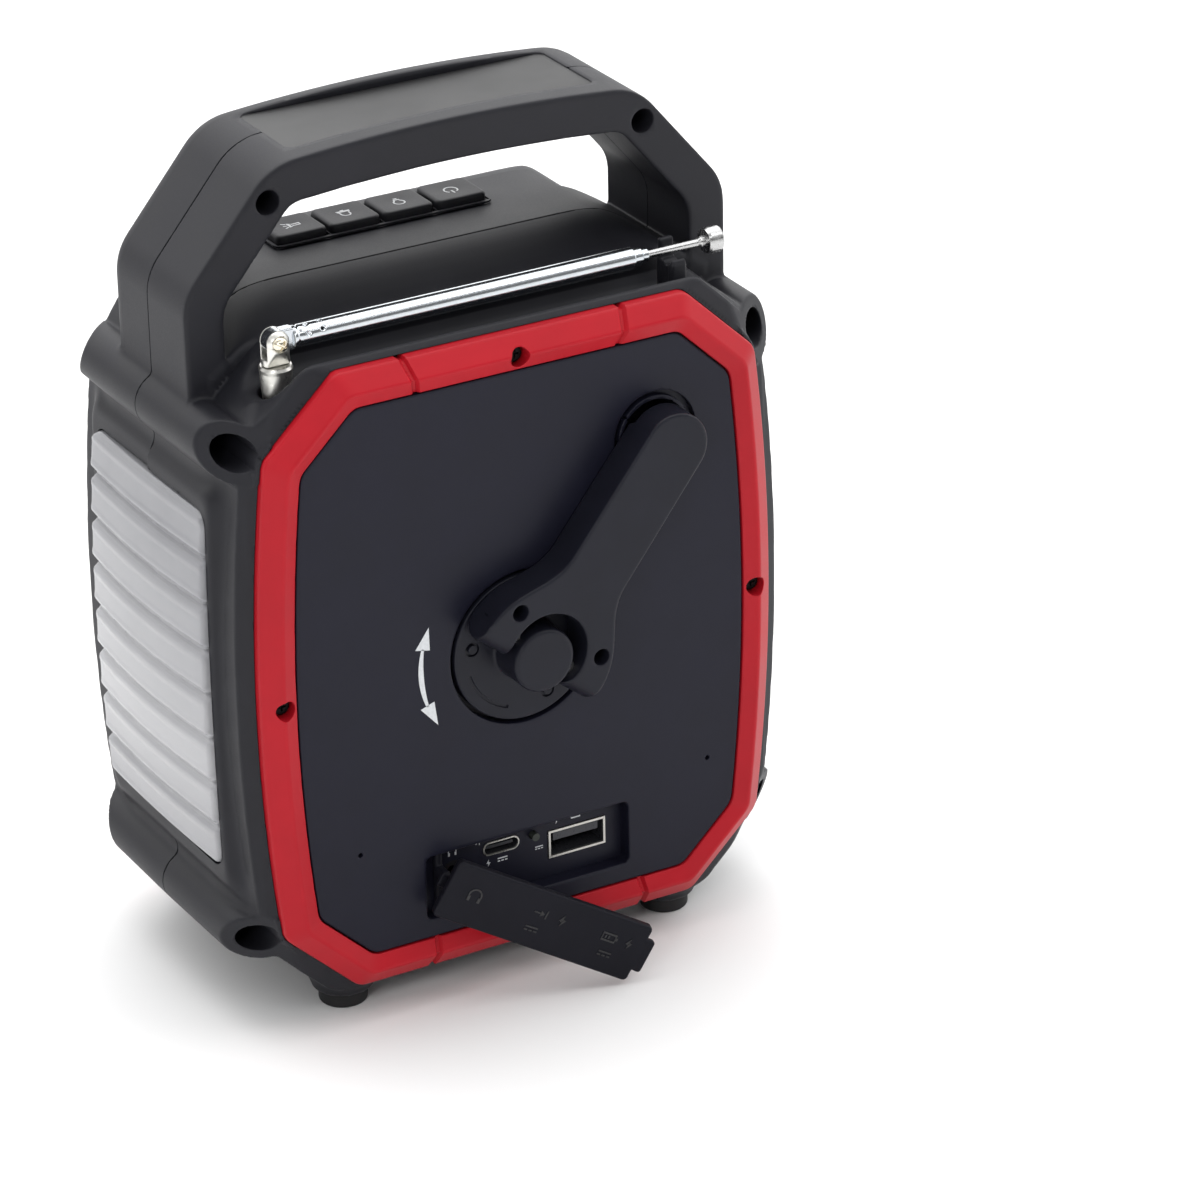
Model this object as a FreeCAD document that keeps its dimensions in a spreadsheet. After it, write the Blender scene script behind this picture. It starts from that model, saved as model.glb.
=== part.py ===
import FreeCAD, Part
import math
import os
import Sketcher
from FreeCAD import Placement, Rotation, Vector

# Hand crank weather radio, millimetres, +Z up, +Y to the rear (crank side), +X to the right seen from the front.
# Sizes are laid out about the crank hub: there x=0 is the middle, z=0 the crank axis and y=0 the seat of the rear
# bezel. Each piece's Placement then moves it by (shift_x, shift_y, shift_z), so that the finished radio stands on
# z=0 with its box centred on the origin.

doc = FreeCAD.newDocument("hand_crank_radio")
sheet = doc.addObject("Spreadsheet::Sheet", "dims")

DIMENSIONS = [
    ("shift_x", 0.0, "row origin, across"),
    ("shift_y", 34.77, "row origin, depth"),
    ("shift_z", 79.5, "height of the crank axis above the table"),
    ("split_y", -38.5, "parting plane of the two shells"),
    ("rim_y", -0.4, "rear rim of the shell"),
    ("wall", 2.4, "shell wall"),
    ("bezel_top", 71.6, "half height of the bezel outline"),
    ("bezel_side", 58.6, "half width of the bezel outline at its corners"),
    ("bezel_bulge", 62.1, "half width of the bezel outline at mid height"),
    ("bezel_width", 7.6, "width of the bezel band"),
    ("bezel_crest", 4.2, "height of the bezel crest"),
    ("bezel_edge", 0.9, "height of the bezel outer edge"),
    ("neck_x", 64.7, "half width of the body side"),
    ("frame_x", 67.4, "half width of the lantern surround"),
    ("boss_x", 62.2, "corner boss, across"),
    ("boss_z", 56.5, "corner boss, height"),
    ("boss_radius", 6.9, "corner boss radius at the parting plane"),
    ("boss_tip", 6.2, "corner boss radius at its end"),
    ("boss_hole", 3.8, "screw well radius"),
    ("boss_end", -5.2, "depth of the slanted boss end at its axis"),
    ("rim_top", 73.0, "half height of the shell at the foot of its rear chamfer"),
    ("rim_side", 61.6, "half width of the shell at the foot of its rear chamfer"),
    ("chamfer_y", -2.2, "foot of the rear chamfer"),
    ("skirt_y", -1.7, "underside of the bezel skirt"),
    ("deck_z", 78.3, "top deck height"),
    ("leg_x", 64.5, "handle leg outer face"),
    ("handle_top", 112.25, "top of the arched handle at its middle"),
    ("handle_knee", 84.8, "height of the lower handle bend"),
    ("handle_shoulder", 41.9, "half width of the handle top"),
    ("handle_thick", 8.9, "handle thickness"),
    ("handle_rear", -20.7, "rear face of the handle"),
    ("handle_crown", 420.0, "radius of the arched handle bar"),
    ("solar_half", 36.4, "half length of the solar window recess"),
    ("solar_y_rear", -26.8, "rear edge of the solar recess"),
    ("solar_floor", 109.2, "seat of the solar window"),
    ("panel_face", 2.6, "face of the rear panel"),
    ("panel_fit", 0.35, "gap between panel and bezel"),
    ("hub_radius", 17.0, "crank hub disc"),
    ("hub_gap", 0.35, "groove round the hub disc"),
    ("hub_back", -1.0, "back of the hub disc"),
    ("post_radius", 7.2, "hub post"),
    ("post_top", 11.5, "top of the hub post"),
    ("arm_low", 3.0, "crank arm underside"),
    ("arm_high", 11.6, "crank arm top"),
    ("arm_half", 8.0, "crank arm half width"),
    ("arm_reach", 52.9, "hub axis to grip axis"),
    ("hinge_u", 1.0, "crank hinge axis from the hub axis"),
    ("hinge_y", 7.3, "crank hinge axis above the panel seat"),
    ("ear_round", 4.2, "rounding of the arm ears about the hinge"),
    ("post_window", 9.3, "window of the arm round the post"),
    ("pin_radius", 1.5, "hinge pin"),
    ("grip_radius", 6.2, "crank grip"),
    ("grip_length", 7.0, "crank grip length"),
    ("grip_travel", 5.2, "crank grip travel"),
    ("pocket_radius", 9.94, "grip pocket rim"),
    ("pocket_ring", 8.72, "ring inside the grip pocket"),
    ("pocket_depth", 10.5, "grip pocket depth"),
    ("shaft_radius", 3.0, "crank shaft"),
    ("gear_width", 4.0, "drive gear width"),
    ("drive_teeth", 32.0, "drive gear teeth"),
    ("drive_module", 1.25, "drive gear module"),
    ("idler_teeth", 12.0, "idler pinion teeth"),
    ("wheel_teeth", 30.0, "idler wheel teeth"),
    ("wheel_module", 1.0, "idler wheel module"),
    ("pinion_teeth", 12.0, "motor pinion teeth"),
    ("motor_radius", 13.5, "generator motor radius"),
    ("motor_length", 22.0, "generator motor length"),
    ("lens_front", -65.3, "front edge of the lantern lens"),
    ("lens_rear", -11.7, "rear edge of the lantern lens"),
    ("lens_half", 41.6, "half height of the lantern lens"),
    ("lens_seat", 65.3, "seat of the lantern lens"),
    ("lens_crown", 70.4, "half width over the lantern lenses"),
    ("antenna_x", 49.4, "antenna socket, across"),
    ("antenna_y", -10.4, "antenna socket, depth"),
    ("antenna_z", 76.8, "antenna rod height"),
    ("tube_one", 2.4, "antenna tube 1 radius"),
    ("tube_two", 1.95, "antenna tube 2 radius"),
    ("tube_three", 1.5, "antenna tube 3 radius"),
    ("tube_tip", 0.85, "antenna tip rod radius"),
    ("key_pitch", 12.9, "key pitch"),
    ("key_wide", 12.1, "key width"),
    ("key_deep", 11.2, "key depth"),
    ("key_mid_x", 1.6, "middle of the key row"),
    ("key_mid_y", -58.2, "key row depth"),
    ("key_top", 80.4, "key top"),
    ("key_travel", 0.8, "key travel"),
    ("cover_long", 48.6, "port cover length"),
    ("cover_high", 13.9, "port cover height"),
    ("cover_thick", 2.2, "port cover thickness"),
    ("port_x", 0.3, "port recess, across"),
    ("port_z", -51.75, "port recess, height"),
    ("port_long", 50.2, "port recess length"),
    ("port_high", 15.1, "port recess height"),
    ("port_floor", -0.9, "port recess floor"),
    ("foot_x", 40.5, "foot, across"),
    ("foot_y", -9.5, "rear foot, depth"),
    ("foot_radius", 5.4, "foot radius"),
    ("foot_low", -79.5, "foot underside"),
    ("speaker_x", -17.0, "speaker, across"),
    ("speaker_z", -8.0, "speaker, height"),
    ("speaker_radius", 29.0, "speaker grille radius"),
    ("knob_x", 31.0, "front knobs, across"),
    ("tuning_z", 13.0, "tuning knob height"),
    ("tuning_radius", 11.5, "tuning knob radius"),
    ("volume_z", -13.5, "volume knob height"),
    ("volume_radius", 8.6, "volume knob radius"),
    ("torch_z", -40.0, "torch height"),
    ("torch_radius", 12.0, "torch lens radius"),
    ("display_z", 43.5, "display height"),
    ("display_half", 36.0, "display half width"),
    ("display_tall", 9.5, "display half height"),
    ("cell_radius", 9.2, "battery cell radius"),
    ("cell_length", 65.0, "battery cell length"),
]


class Q(float):
    """A number that remembers the sheet cell, or the sum of cells, that it came from."""

    def __new__(cls, value, text):
        q = float.__new__(cls, value)
        q.text = text
        return q


def text_of(a):
    if isinstance(a, Q):
        return a.text
    return "(%r)" % float(a) if a < 0 else "%r" % float(a)


def joined(sign, work):
    return lambda a, b: Q(work(float(a), float(b)), "(%s %s %s)" % (text_of(a), sign, text_of(b)))


Q.__add__ = joined("+", lambda a, b: a + b)
Q.__sub__ = joined("-", lambda a, b: a - b)
Q.__mul__ = joined("*", lambda a, b: a * b)
Q.__truediv__ = joined("/", lambda a, b: a / b)
Q.__radd__ = lambda a, b: joined("+", lambda x, y: x + y)(b, a)
Q.__rsub__ = lambda a, b: joined("-", lambda x, y: x - y)(b, a)
Q.__rmul__ = lambda a, b: joined("*", lambda x, y: x * y)(b, a)
Q.__neg__ = lambda a: Q(-float(a), "(-1 * %s)" % a.text)


class Cells:
    pass


d = Cells()
sheet.set("A1", "name")
sheet.set("B1", "value")
sheet.set("C1", "what it is")
for row, (alias, value, note) in enumerate(DIMENSIONS, 2):
    sheet.set("A%d" % row, alias)
    sheet.set("B%d" % row, repr(value))
    sheet.set("C%d" % row, note)
    sheet.setAlias("B%d" % row, alias)
    setattr(d, alias, Q(value, "dims." + alias))
doc.recompute()

count = [0]


def fresh(stem):
    count[0] += 1
    return "%s_%03d" % (stem, count[0])


def bind(obj, prop, value):
    if isinstance(value, Q):
        obj.setExpression(prop, value.text)


def put(obj, x, y, z, rotation=None):
    obj.Placement = Placement(Vector(float(x), float(y), float(z)), rotation or Rotation())
    bind(obj, "Placement.Base.x", x)
    bind(obj, "Placement.Base.y", y)
    bind(obj, "Placement.Base.z", z)
    return obj


def box(x0, x1, y0, y1, z0, z1):
    o = doc.addObject("Part::Box", fresh("block"))
    for prop, low, high in (("Length", x0, x1), ("Width", y0, y1), ("Height", z0, z1)):
        setattr(o, prop, float(high) - float(low))
        size = high - low
        if isinstance(size, Q):
            o.setExpression(prop, size.text)
    return put(o, x0, y0, z0)


TURN = {
    "x": Rotation(Vector(0, 1, 0), 90),
    "y": Rotation(Vector(1, 0, 0), -90),
    "z": Rotation(),
}


def rod(axis, x, y, z, radius, length):
    """A cylinder that starts at x, y, z and runs along +axis."""
    o = doc.addObject("Part::Cylinder", fresh("round"))
    o.Radius = float(radius)
    o.Height = float(length)
    bind(o, "Radius", radius)
    bind(o, "Height", length)
    return put(o, x, y, z, TURN[axis])


def taper(axis, x, y, z, r0, r1, length):
    o = doc.addObject("Part::Cone", fresh("taper"))
    o.Radius1, o.Radius2, o.Height = float(r0), float(r1), float(length)
    bind(o, "Radius1", r0)
    bind(o, "Radius2", r1)
    bind(o, "Height", length)
    return put(o, x, y, z, TURN[axis])


def fuse(*parts):
    parts = [p for p in parts if p is not None]
    if len(parts) == 1:
        return parts[0]
    o = doc.addObject("Part::MultiFuse", fresh("joined"))
    o.Shapes = list(parts)
    return o


def cut(base, *tools):
    o = doc.addObject("Part::Cut", fresh("cut"))
    o.Base = base
    o.Tool = fuse(*tools)
    return o


def common(a, b):
    o = doc.addObject("Part::Common", fresh("shared"))
    o.Base, o.Tool = a, b
    return o


# outlines ---------------------------------------------------------------------------------------------------------

PLANE = {
    "y": Rotation(Vector(1, 0, 0), 90),  # outline in x, z, run along y
    "x": Rotation(Vector(1, 1, 1), 120),  # outline in y, z, run along x
    "z": Rotation(),  # outline in x, y, run along z
}
ALONG = {"x": Vector(1, 0, 0), "y": Vector(0, 1, 0), "z": Vector(0, 0, 1)}


def outline(axis, at, points, bulges=None, radii=None):
    """A closed sketch. bulges maps a side's number to a point that its arc goes through; radii rounds corners."""
    n = len(points)
    P = [(float(a), float(b)) for a, b in points]
    bulges = bulges or {}
    radii = radii or [0.0] * n
    sk = doc.addObject("Sketcher::SketchObject", fresh("outline"))
    start, end, arcs = list(P), list(P), {}
    for i, r in enumerate(radii):
        if r <= 0:
            continue
        p, a, b = P[i], P[i - 1], P[(i + 1) % n]
        u = (a[0] - p[0], a[1] - p[1])
        v = (b[0] - p[0], b[1] - p[1])
        lu, lv = math.hypot(*u), math.hypot(*v)
        u, v = (u[0] / lu, u[1] / lu), (v[0] / lv, v[1] / lv)
        half = math.acos(max(-1, min(1, u[0] * v[0] + u[1] * v[1]))) / 2
        t = r / math.tan(half)
        w = (u[0] + v[0], u[1] + v[1])
        lw = math.hypot(*w)
        reach = r / math.sin(half) - r
        mid = (p[0] + w[0] / lw * reach, p[1] + w[1] / lw * reach)
        end[i] = (p[0] + u[0] * t, p[1] + u[1] * t)
        start[i] = (p[0] + v[0] * t, p[1] + v[1] * t)
        arcs[i] = mid

    def vec(q):
        return Vector(q[0], q[1], 0)

    pieces = []
    for i in range(n):
        if i in arcs:
            pieces.append(Part.Arc(vec(end[i]), vec(arcs[i]), vec(start[i])))
        a, b = start[i], end[(i + 1) % n]
        if i in bulges:
            pieces.append(Part.Arc(vec(a), vec(bulges[i]), vec(b)))
        elif math.hypot(a[0] - b[0], a[1] - b[1]) > 1e-6:
            pieces.append(Part.LineSegment(vec(a), vec(b)))
    sk.addGeometry(pieces, False)
    base = {"x": (at, 0, 0), "y": (0, at, 0), "z": (0, 0, at)}[axis]
    put(sk, base[0], base[1], base[2], PLANE[axis])
    return sk


def run(axis, a, b, points, bulges=None, radii=None):
    """A prism of an outline from a to b along an axis."""
    sk = outline(axis, a, points, bulges, radii)
    o = doc.addObject("Part::Extrusion", fresh("run"))
    o.Base = sk
    o.DirMode = "Custom"
    o.Dir = ALONG[axis]
    o.LengthFwd = float(b) - float(a)
    size = b - a
    if isinstance(size, Q):
        o.setExpression("LengthFwd", size.text)
    o.Solid = True
    return o


def loft(*sections):
    o = doc.addObject("Part::Loft", fresh("loft"))
    o.Sections = list(sections)
    o.Solid = True
    o.Ruled = True
    return o


def turned(profile, x, y, z, axis):
    """A PartDesign body turned about an axis; profile is (radius, distance along the axis)."""
    body = doc.addObject("PartDesign::Body", fresh("turned"))
    plane = [f for f in body.Origin.OriginFeatures if f.Role == "XZ_Plane"][0]
    sk = body.newObject("Sketcher::SketchObject", fresh("profile"))
    sk.AttachmentSupport = [(plane, "")]
    sk.MapMode = "FlatFace"
    n = len(profile)
    P = [(float(r), float(t)) for r, t in profile]
    for i in range(n):
        a, b = P[i], P[(i + 1) % n]
        sk.addGeometry(Part.LineSegment(Vector(a[0], a[1], 0), Vector(b[0], b[1], 0)), False)
    for i in range(n):
        sk.addConstraint(Sketcher.Constraint("Coincident", i, 2, (i + 1) % n, 1))
    for i, (r, t) in enumerate(profile):
        for kind, value in (("DistanceX", r), ("DistanceY", t)):
            if abs(float(value)) > 1e-6:
                k = sk.addConstraint(Sketcher.Constraint(kind, -1, 1, i, 1, float(value)))
                if isinstance(value, Q):
                    sk.setExpression("Constraints[%d]" % k, value.text)
    rev = body.newObject("PartDesign::Revolution", fresh("revolve"))
    rev.Profile = sk
    rev.ReferenceAxis = (sk, ["V_Axis"])
    rev.Angle = 360
    put(body, x, y, z, {"y": TURN["y"], "z": TURN["z"], "x": TURN["x"]}[axis])
    return body


NODES = []


def node(name, obj):
    """Names a finished piece and moves it into the row's frame."""
    if obj.TypeId in ("Part::Box", "Part::Cylinder", "Part::Cone", "Part::Extrusion", "PartDesign::Body", "Part::Feature"):
        # a single primitive keeps its own place, so the move is a union's
        holder = doc.addObject("Part::MultiFuse", fresh("piece")) if False else doc.addObject("Part::Compound", fresh("piece"))
        holder.Links = [obj]
        obj = holder
    obj.Label = name
    put(obj, d.shift_x, d.shift_y, d.shift_z, obj.Placement.Rotation)
    NODES.append((name, obj))
    return obj


# the bezel octagon, grown by an offset; its left and right sides bulge outwards ----------------------------------------

DIAG = (0.690, 0.724)


def octagon(grow, high=None):
    top = d.bezel_top + grow
    side = d.bezel_side + grow
    c = 41.6 * DIAG[0] + 71.6 * DIAG[1] + grow
    cx = (c - DIAG[1] * float(top)) / DIAG[0]
    cz = (c - DIAG[0] * float(side)) / DIAG[1]
    top, side = float(top), float(side)
    pts = [(-cx, top), (cx, top), (side, cz), (side, -cz), (cx, -top), (-cx, -top), (-side, -cz), (-side, cz)]
    mid = float(d.bezel_bulge) + grow
    return pts, {2: (mid, 0.0), 6: (-mid, 0.0)}


def rim_foot():
    """The outline at the foot of the rear chamfer: wider on the corners than at the top and the sides."""
    top, side = float(d.rim_top), float(d.rim_side)
    c = 41.6 * DIAG[0] + 71.6 * DIAG[1] + 4.4
    cx, cz = (c - DIAG[1] * top) / DIAG[0], (c - DIAG[0] * side) / DIAG[1]
    pts = [(-cx, top), (cx, top), (side, cz), (side, -cz), (cx, -top), (-cx, -top), (-side, -cz), (-side, cz)]
    return pts, {2: (side + 3.5, 0.0), 6: (-side - 3.5, 0.0)}


def oct_run(grow, a, b):
    pts, bulges = octagon(grow)
    return run("y", a, b, pts, bulges)


def oct_outline(grow, at):
    pts, bulges = octagon(grow)
    return outline("y", at, pts, bulges)


MID = 2 * d.split_y  # a depth y on the rear half is MID - y on the front half


class Half:
    """One of the two shells, rear or front: the same depths measured from its own rim."""

    def __init__(self, rear):
        self.rear = rear

    def y(self, value):
        return value if self.rear else MID - value

    def span(self, a, b):
        a, b = self.y(a), self.y(b)
        return (a, b) if float(a) < float(b) else (b, a)

    def box(self, x0, x1, y0, y1, z0, z1):
        a, b = self.span(y0, y1)
        return box(x0, x1, a, b, z0, z1)

    def rod(self, x, y0, y1, z, radius):
        a, b = self.span(y0, y1)
        return rod("y", x, a, z, radius, b - a)

    def oct(self, grow, y0, y1):
        a, b = self.span(y0, y1)
        return oct_run(grow, a, b)

    def run_y(self, y0, y1, points, bulges=None, radii=None):
        a, b = self.span(y0, y1)
        return run("y", a, b, points, bulges, radii)

    def run_x(self, x0, x1, points, radii=None):
        pts = [(float(self.y(y)), float(z)) for y, z in points]
        return run("x", x0, x1, pts, None, radii)


def arch(grow_out, grow_in, low):
    """The handle arch as a closed outline in x, z."""
    t = float(d.handle_thick)
    x, k, s, top = float(d.leg_x), float(d.handle_knee), float(d.handle_shoulder), float(d.handle_top)
    run_, rise = x - s, top - k
    length = math.hypot(run_, rise)
    nx, nz = rise / length, run_ / length
    c = x * nx + k * nz

    def corner(off, side, crown):
        """Knee, shoulder and the two crown points of one side; the bar is an arc of radius r along its length."""
        cc = c + off
        r = float(d.handle_crown)
        far = crown - 20.0 ** 2 / (2 * r) - 10.0 * 20.0 / r
        slope = 40.0 / r
        sx = (cc - nz * (far + slope * 30.0)) / (nx - nz * slope)
        return (side, (cc - nx * side) / nz), (sx, far - slope * (sx - 30.0)), (30.0, far), (10.0, crown)

    a = corner(grow_out, x + grow_out, top + grow_out)
    b = corner(-t - grow_in, x - t - grow_in, top - 9.4 - grow_in)
    ox, ix = a[0][0], b[0][0]
    pts = [(ox, low)] + list(a) + [(-px, pz) for px, pz in reversed(a)] + [(-ox, low)]
    pts += [(-ix, low)] + [(-px, pz) for px, pz in b] + list(reversed(b)) + [(ix, low)]
    radii = [0, 8, 8, 0, 0, 0, 0, 8, 8, 0, 0, 5, 2.2, 0, 0, 0, 0, 2.2, 5, 0]
    return pts, radii


def slant(h, sx, sz):
    """The space behind a corner boss: its end, and the corner beside it, slope away from the bezel."""
    n = Vector(0.9 * sx, 1.0 if h.rear else -1.0, 0.45 * sz).normalize()
    side = Vector(0, 0, 1).cross(n).normalize()
    up = n.cross(side)
    o = doc.addObject("Part::Box", fresh("block"))
    o.Length, o.Width, o.Height = 20, 22, 12
    base = Vector(sx * float(d.boss_x), float(h.y(d.boss_end)), sz * float(d.boss_z)) - side * 10 - up * 11
    o.Placement = Placement(base, Rotation(side, up, n, "XYZ"))
    return o


def shell(rear):
    h = Half(rear)
    sp = d.split_y
    foot, foot_bulge = rim_foot()
    core = fuse(h.run_y(sp, d.chamfer_y, foot, foot_bulge), loft(outline("y", h.y(d.chamfer_y), foot, foot_bulge), oct_outline(-0.6, h.y(d.rim_y))))
    neck_pts = [(64.7, -38.5), (64.7, -10.0), (61.6, -2.4), (-61.6, -2.4), (-64.7, -10.0), (-64.7, -38.5)]
    neck = run("z", -60.0, 60.0, [(x, float(h.y(y))) for x, y in neck_pts])
    bosses = []
    for sx in (1, -1):
        for sz in (1, -1):
            length = -1.0 - sp
            end_boss = taper("y", sx * d.boss_x, sp, sz * d.boss_z, d.boss_radius, d.boss_tip, length)
            if not rear:
                end_boss.Placement = Placement(end_boss.Placement.Base, Rotation(Vector(1, 0, 0), 90))
                bind(end_boss, "Placement.Base.x", sx * d.boss_x)
                bind(end_boss, "Placement.Base.y", sp)
                bind(end_boss, "Placement.Base.z", sz * d.boss_z)
            bosses.append(end_boss)
    frames = []
    for sx in (1, -1):
        a = outline("x", sx * 61.0, [(float(h.y(y)), z) for y, z in [(-38.5, -52.0), (-8.5, -52.0), (-4.6, -46.0), (-4.6, 46.0), (-8.5, 52.0), (-38.5, 52.0)]])
        b = outline("x", sx * d.frame_x, [(float(h.y(y)), z) for y, z in [(-38.5, -44.0), (-14.4, -44.0), (-10.2, -39.5), (-10.2, 39.5), (-14.4, 44.0), (-38.5, 44.0)]])
        frames.append(loft(a, b))
    if rear:
        deck_yz = [(-38.5, 50), (-38.5, 78.3), (-31, 77.7), (-25, 75.9), (-20.5, 72.6), (-17.2, 68.4), (-14.0, 66.0), (-9.0, 65.2), (-3.0, 60.0), (-3.0, 50)]
    else:
        deck_yz = [(-38.5, 50), (-38.5, 78.3), (-10.5, 78.3), (-6.5, 77.0), (-1.6, 74.2), (-0.4, 73.0), (-0.4, 50)]
    deck = common(
        h.run_x(-59.0, 59.0, deck_yz),
        h.run_y(sp, d.rim_y, [(-58.8, 48), (-58.8, 67.5), (-54.4, 71.4), (-48.4, 75.5), (-42.8, 77.6), (-38.0, 78.3), (38.0, 78.3), (42.8, 77.6), (48.4, 75.5), (54.4, 71.4), (58.8, 67.5), (58.8, 48)]),
    )
    pts, radii = arch(0.0, 0.0, 58.0)
    handle = h.run_y(sp, d.handle_rear, pts, None, radii)
    pads = [h.rod(sx * d.foot_x, d.foot_y - 7.0, d.foot_y + 7.0, -70.0, 7.0) for sx in ()]
    stubs = []
    for sx in (1, -1):
        stubs.append(taper("z", sx * d.foot_x, h.y(d.foot_y), -75.9, 6.6, 8.0, 4.0))
    outer = fuse(core, neck, *bosses, *frames, deck, handle, *pads, *stubs)
    # inside
    room = common(h.oct(0.2, sp, -3.4), h.box(-70, 70, sp - 1, 0, -69.0, 62.4))
    if rear:
        loft_room = h.run_x(-41.0, 41.0, [(-38.5, 58), (-38.5, 75.9), (-30, 75.0), (-25, 72.6), (-21.5, 68.6), (-20.5, 62), (-20.5, 58)])
    else:
        loft_room = h.run_x(-41.0, 41.0, [(-38.5, 58), (-38.5, 75.9), (-11, 75.9), (-6.0, 72.0), (-3.4, 70.0), (-3.4, 58)])
    side_room = [h.box(sx * 56.0 if sx > 0 else -62.4, 62.4 if sx > 0 else -56.0, sp, -10.0, -47.0, 47.0) for sx in (1, -1)]
    hollow = cut(outer, room, loft_room, *side_room)
    # bosses, posts and webs that stand in the hollow
    inner = []
    for sx in (1, -1):
        for sz in (1, -1):
            inner.append(h.rod(sx * d.boss_x, sp, -9.0, sz * d.boss_z, d.boss_tip))
    if rear:
        inner.append(h.rod(0.0, -9.5, -3.0, 0.0, 9.5))
        inner.append(h.rod(idler_x, -8.0, -3.0, idler_z, 4.0))
        for px, pz in plate_posts:
            inner.append(h.rod(px, -18.1, -3.0, pz, 3.2))
        inner.append(taper("z", d.antenna_x, d.antenna_y, 54.0, 6.0, 6.6, 8.5))
    solid = fuse(hollow, *inner)
    # openings
    tools = []
    for sx in (1, -1):
        for sz in (1, -1):
            if rear:
                tools.append(h.rod(sx * d.boss_x, -28.0, 2.0, sz * d.boss_z, d.boss_hole))
                tools.append(h.rod(sx * d.boss_x, sp - 2.0, -27.0, sz * d.boss_z, 1.5))
            else:
                tools.append(h.rod(sx * d.boss_x, sp - 2.0, -25.0, sz * d.boss_z, 1.5))
    for sx in (1, -1):
        if rear:
            tools.append(h.rod(sx * 44.4, -32.0, -18.0, 102.4, 2.7))
            tools.append(h.rod(sx * 44.4, sp - 2.0, -31.0, 102.4, 1.3))
        else:
            tools.append(h.rod(sx * 44.4, sp - 2.0, -30.0, 102.4, 1.3))
    for sx in (1, -1):
        lo, hi = (d.lens_seat, 80.0) if sx > 0 else (-80.0, -d.lens_seat)
        tools.append(h.box(lo, hi, sp - 1, d.lens_rear + 0.15, -d.lens_half - 0.15, d.lens_half + 0.15))
        lo, hi = (50.0, 70.0) if sx > 0 else (-70.0, -50.0)
        tools.append(h.box(lo, hi, sp - 1, -16.0, -37.5, 37.5))
    tools.append(h.box(-d.solar_half, d.solar_half, sp - 1, d.solar_y_rear, d.solar_floor, 115.0))
    tools.append(h.box(-35.2, 35.2, sp - 1, -28.4, 108.0, 110.0))
    for bx, bz in bezel_screws:
        tools.append(h.rod(bx, -3.0, 1.0, bz, 1.1))
    for sx in (1, -1):
        tools.append(rod("z", sx * d.foot_x, h.y(d.foot_y), -80.0, d.foot_radius + 0.1, 5.6))
    if rear:
        trough = run("x", -57.0, 57.0, [(-16.6, 90), (-16.6, 69.0), (-14.2, 66.2), (-9.6, 65.2), (-5.6, 66.6), (-3.6, 69.8), (-3.2, 73.0), (-3.2, 90)])
        tools.append(trough)
        tools.append(rod("y", 0.0, -1.4, 0.0, d.hub_radius + 0.7, 4.0))
        tools.append(rod("y", 0.0, -12.0, 0.0, 6.0, 14.0))
        tools.append(rod("y", idler_x, -10.0, idler_z, 1.5, 7.2))
        for px, pz in plate_posts:
            tools.append(rod("y", px, -19.0, pz, 1.1, 10.0))
        tools.append(rod("y", pocket_x, -12.0, pocket_z, d.pocket_radius + 1.7, 14.0))
        tools.append(box(-27.4, 28.0, -6.0, 1.0, -61.4, -42.2))
        tools.append(rod("z", d.antenna_x, d.antenna_y, 56.0, 3.0, 30.0))
        tools.append(rod("z", d.antenna_x, d.antenna_y, 62.0, 4.0, 30.0))
    else:
        a, b = h.span(-10.0, 2.0)
        x0 = d.key_mid_x - 1.5 * d.key_pitch
        for i in range(4):
            cx = x0 + i * d.key_pitch
            tools.append(box(cx - d.key_wide / 2 - 0.35, cx + d.key_wide / 2 + 0.35, d.key_mid_y - d.key_deep / 2 - 0.35, d.key_mid_y + d.key_deep / 2 + 0.35, 74.0, 82.0))
        # the front wall is open behind the front panel
        tools.append(h.box(-38.0, 38.0, -5.0, 1.0, 30.0, 56.0))
        tools.append(rod("y", d.speaker_x, -80.0, d.speaker_z, 28.0, 8.0))
        tools.append(rod("y", d.knob_x, -80.0, d.tuning_z, 5.0, 8.0))
        tools.append(rod("y", d.knob_x, -80.0, d.volume_z, 5.0, 8.0))
        tools.append(rod("y", d.knob_x, -80.0, d.torch_z, 11.6, 8.0))
    for sx in (1, -1):
        for sz in (1, -1):
            tools.append(slant(h, sx, sz))
    tools.append(cut(h.oct(0.15, d.skirt_y - 0.1, 4.0), h.oct(-2.45, d.skirt_y - 1.0, 5.0)))
    if rear:
        # the socket that the antenna clip is pressed into
        tools.append(box(-47.1, -43.5, -14.3, -7.8, 63.8, 90.0))
    return cut(solid, *tools)


# crank geometry: u runs along the stowed arm, v across it -------------------------------------------------------------

U = (-0.619, 0.7855)
V = (-0.7855, -0.619)


def uv(u, v=0.0):
    return (U[0] * u + V[0] * v, U[1] * u + V[1] * v)


idler_span = (float(d.drive_teeth) + float(d.idler_teeth)) * float(d.drive_module) / 2
wheel_span = (float(d.wheel_teeth) + float(d.pinion_teeth)) * float(d.wheel_module) / 2
idler_angle = 20.0
idler_x = idler_span * math.cos(math.radians(idler_angle))
idler_z = idler_span * math.sin(math.radians(idler_angle))
motor_x, motor_z = idler_x, idler_z + wheel_span
plate_posts = [(-17.0, -24.0), (43.5, -6.0), (5.5, 34.0)]
pocket_x, pocket_z = uv(float(d.arm_reach))
bezel_screws = [(0.0, 66.7), (57.0, 0.0), (0.0, -66.7), (-57.0, 0.0)]


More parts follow.
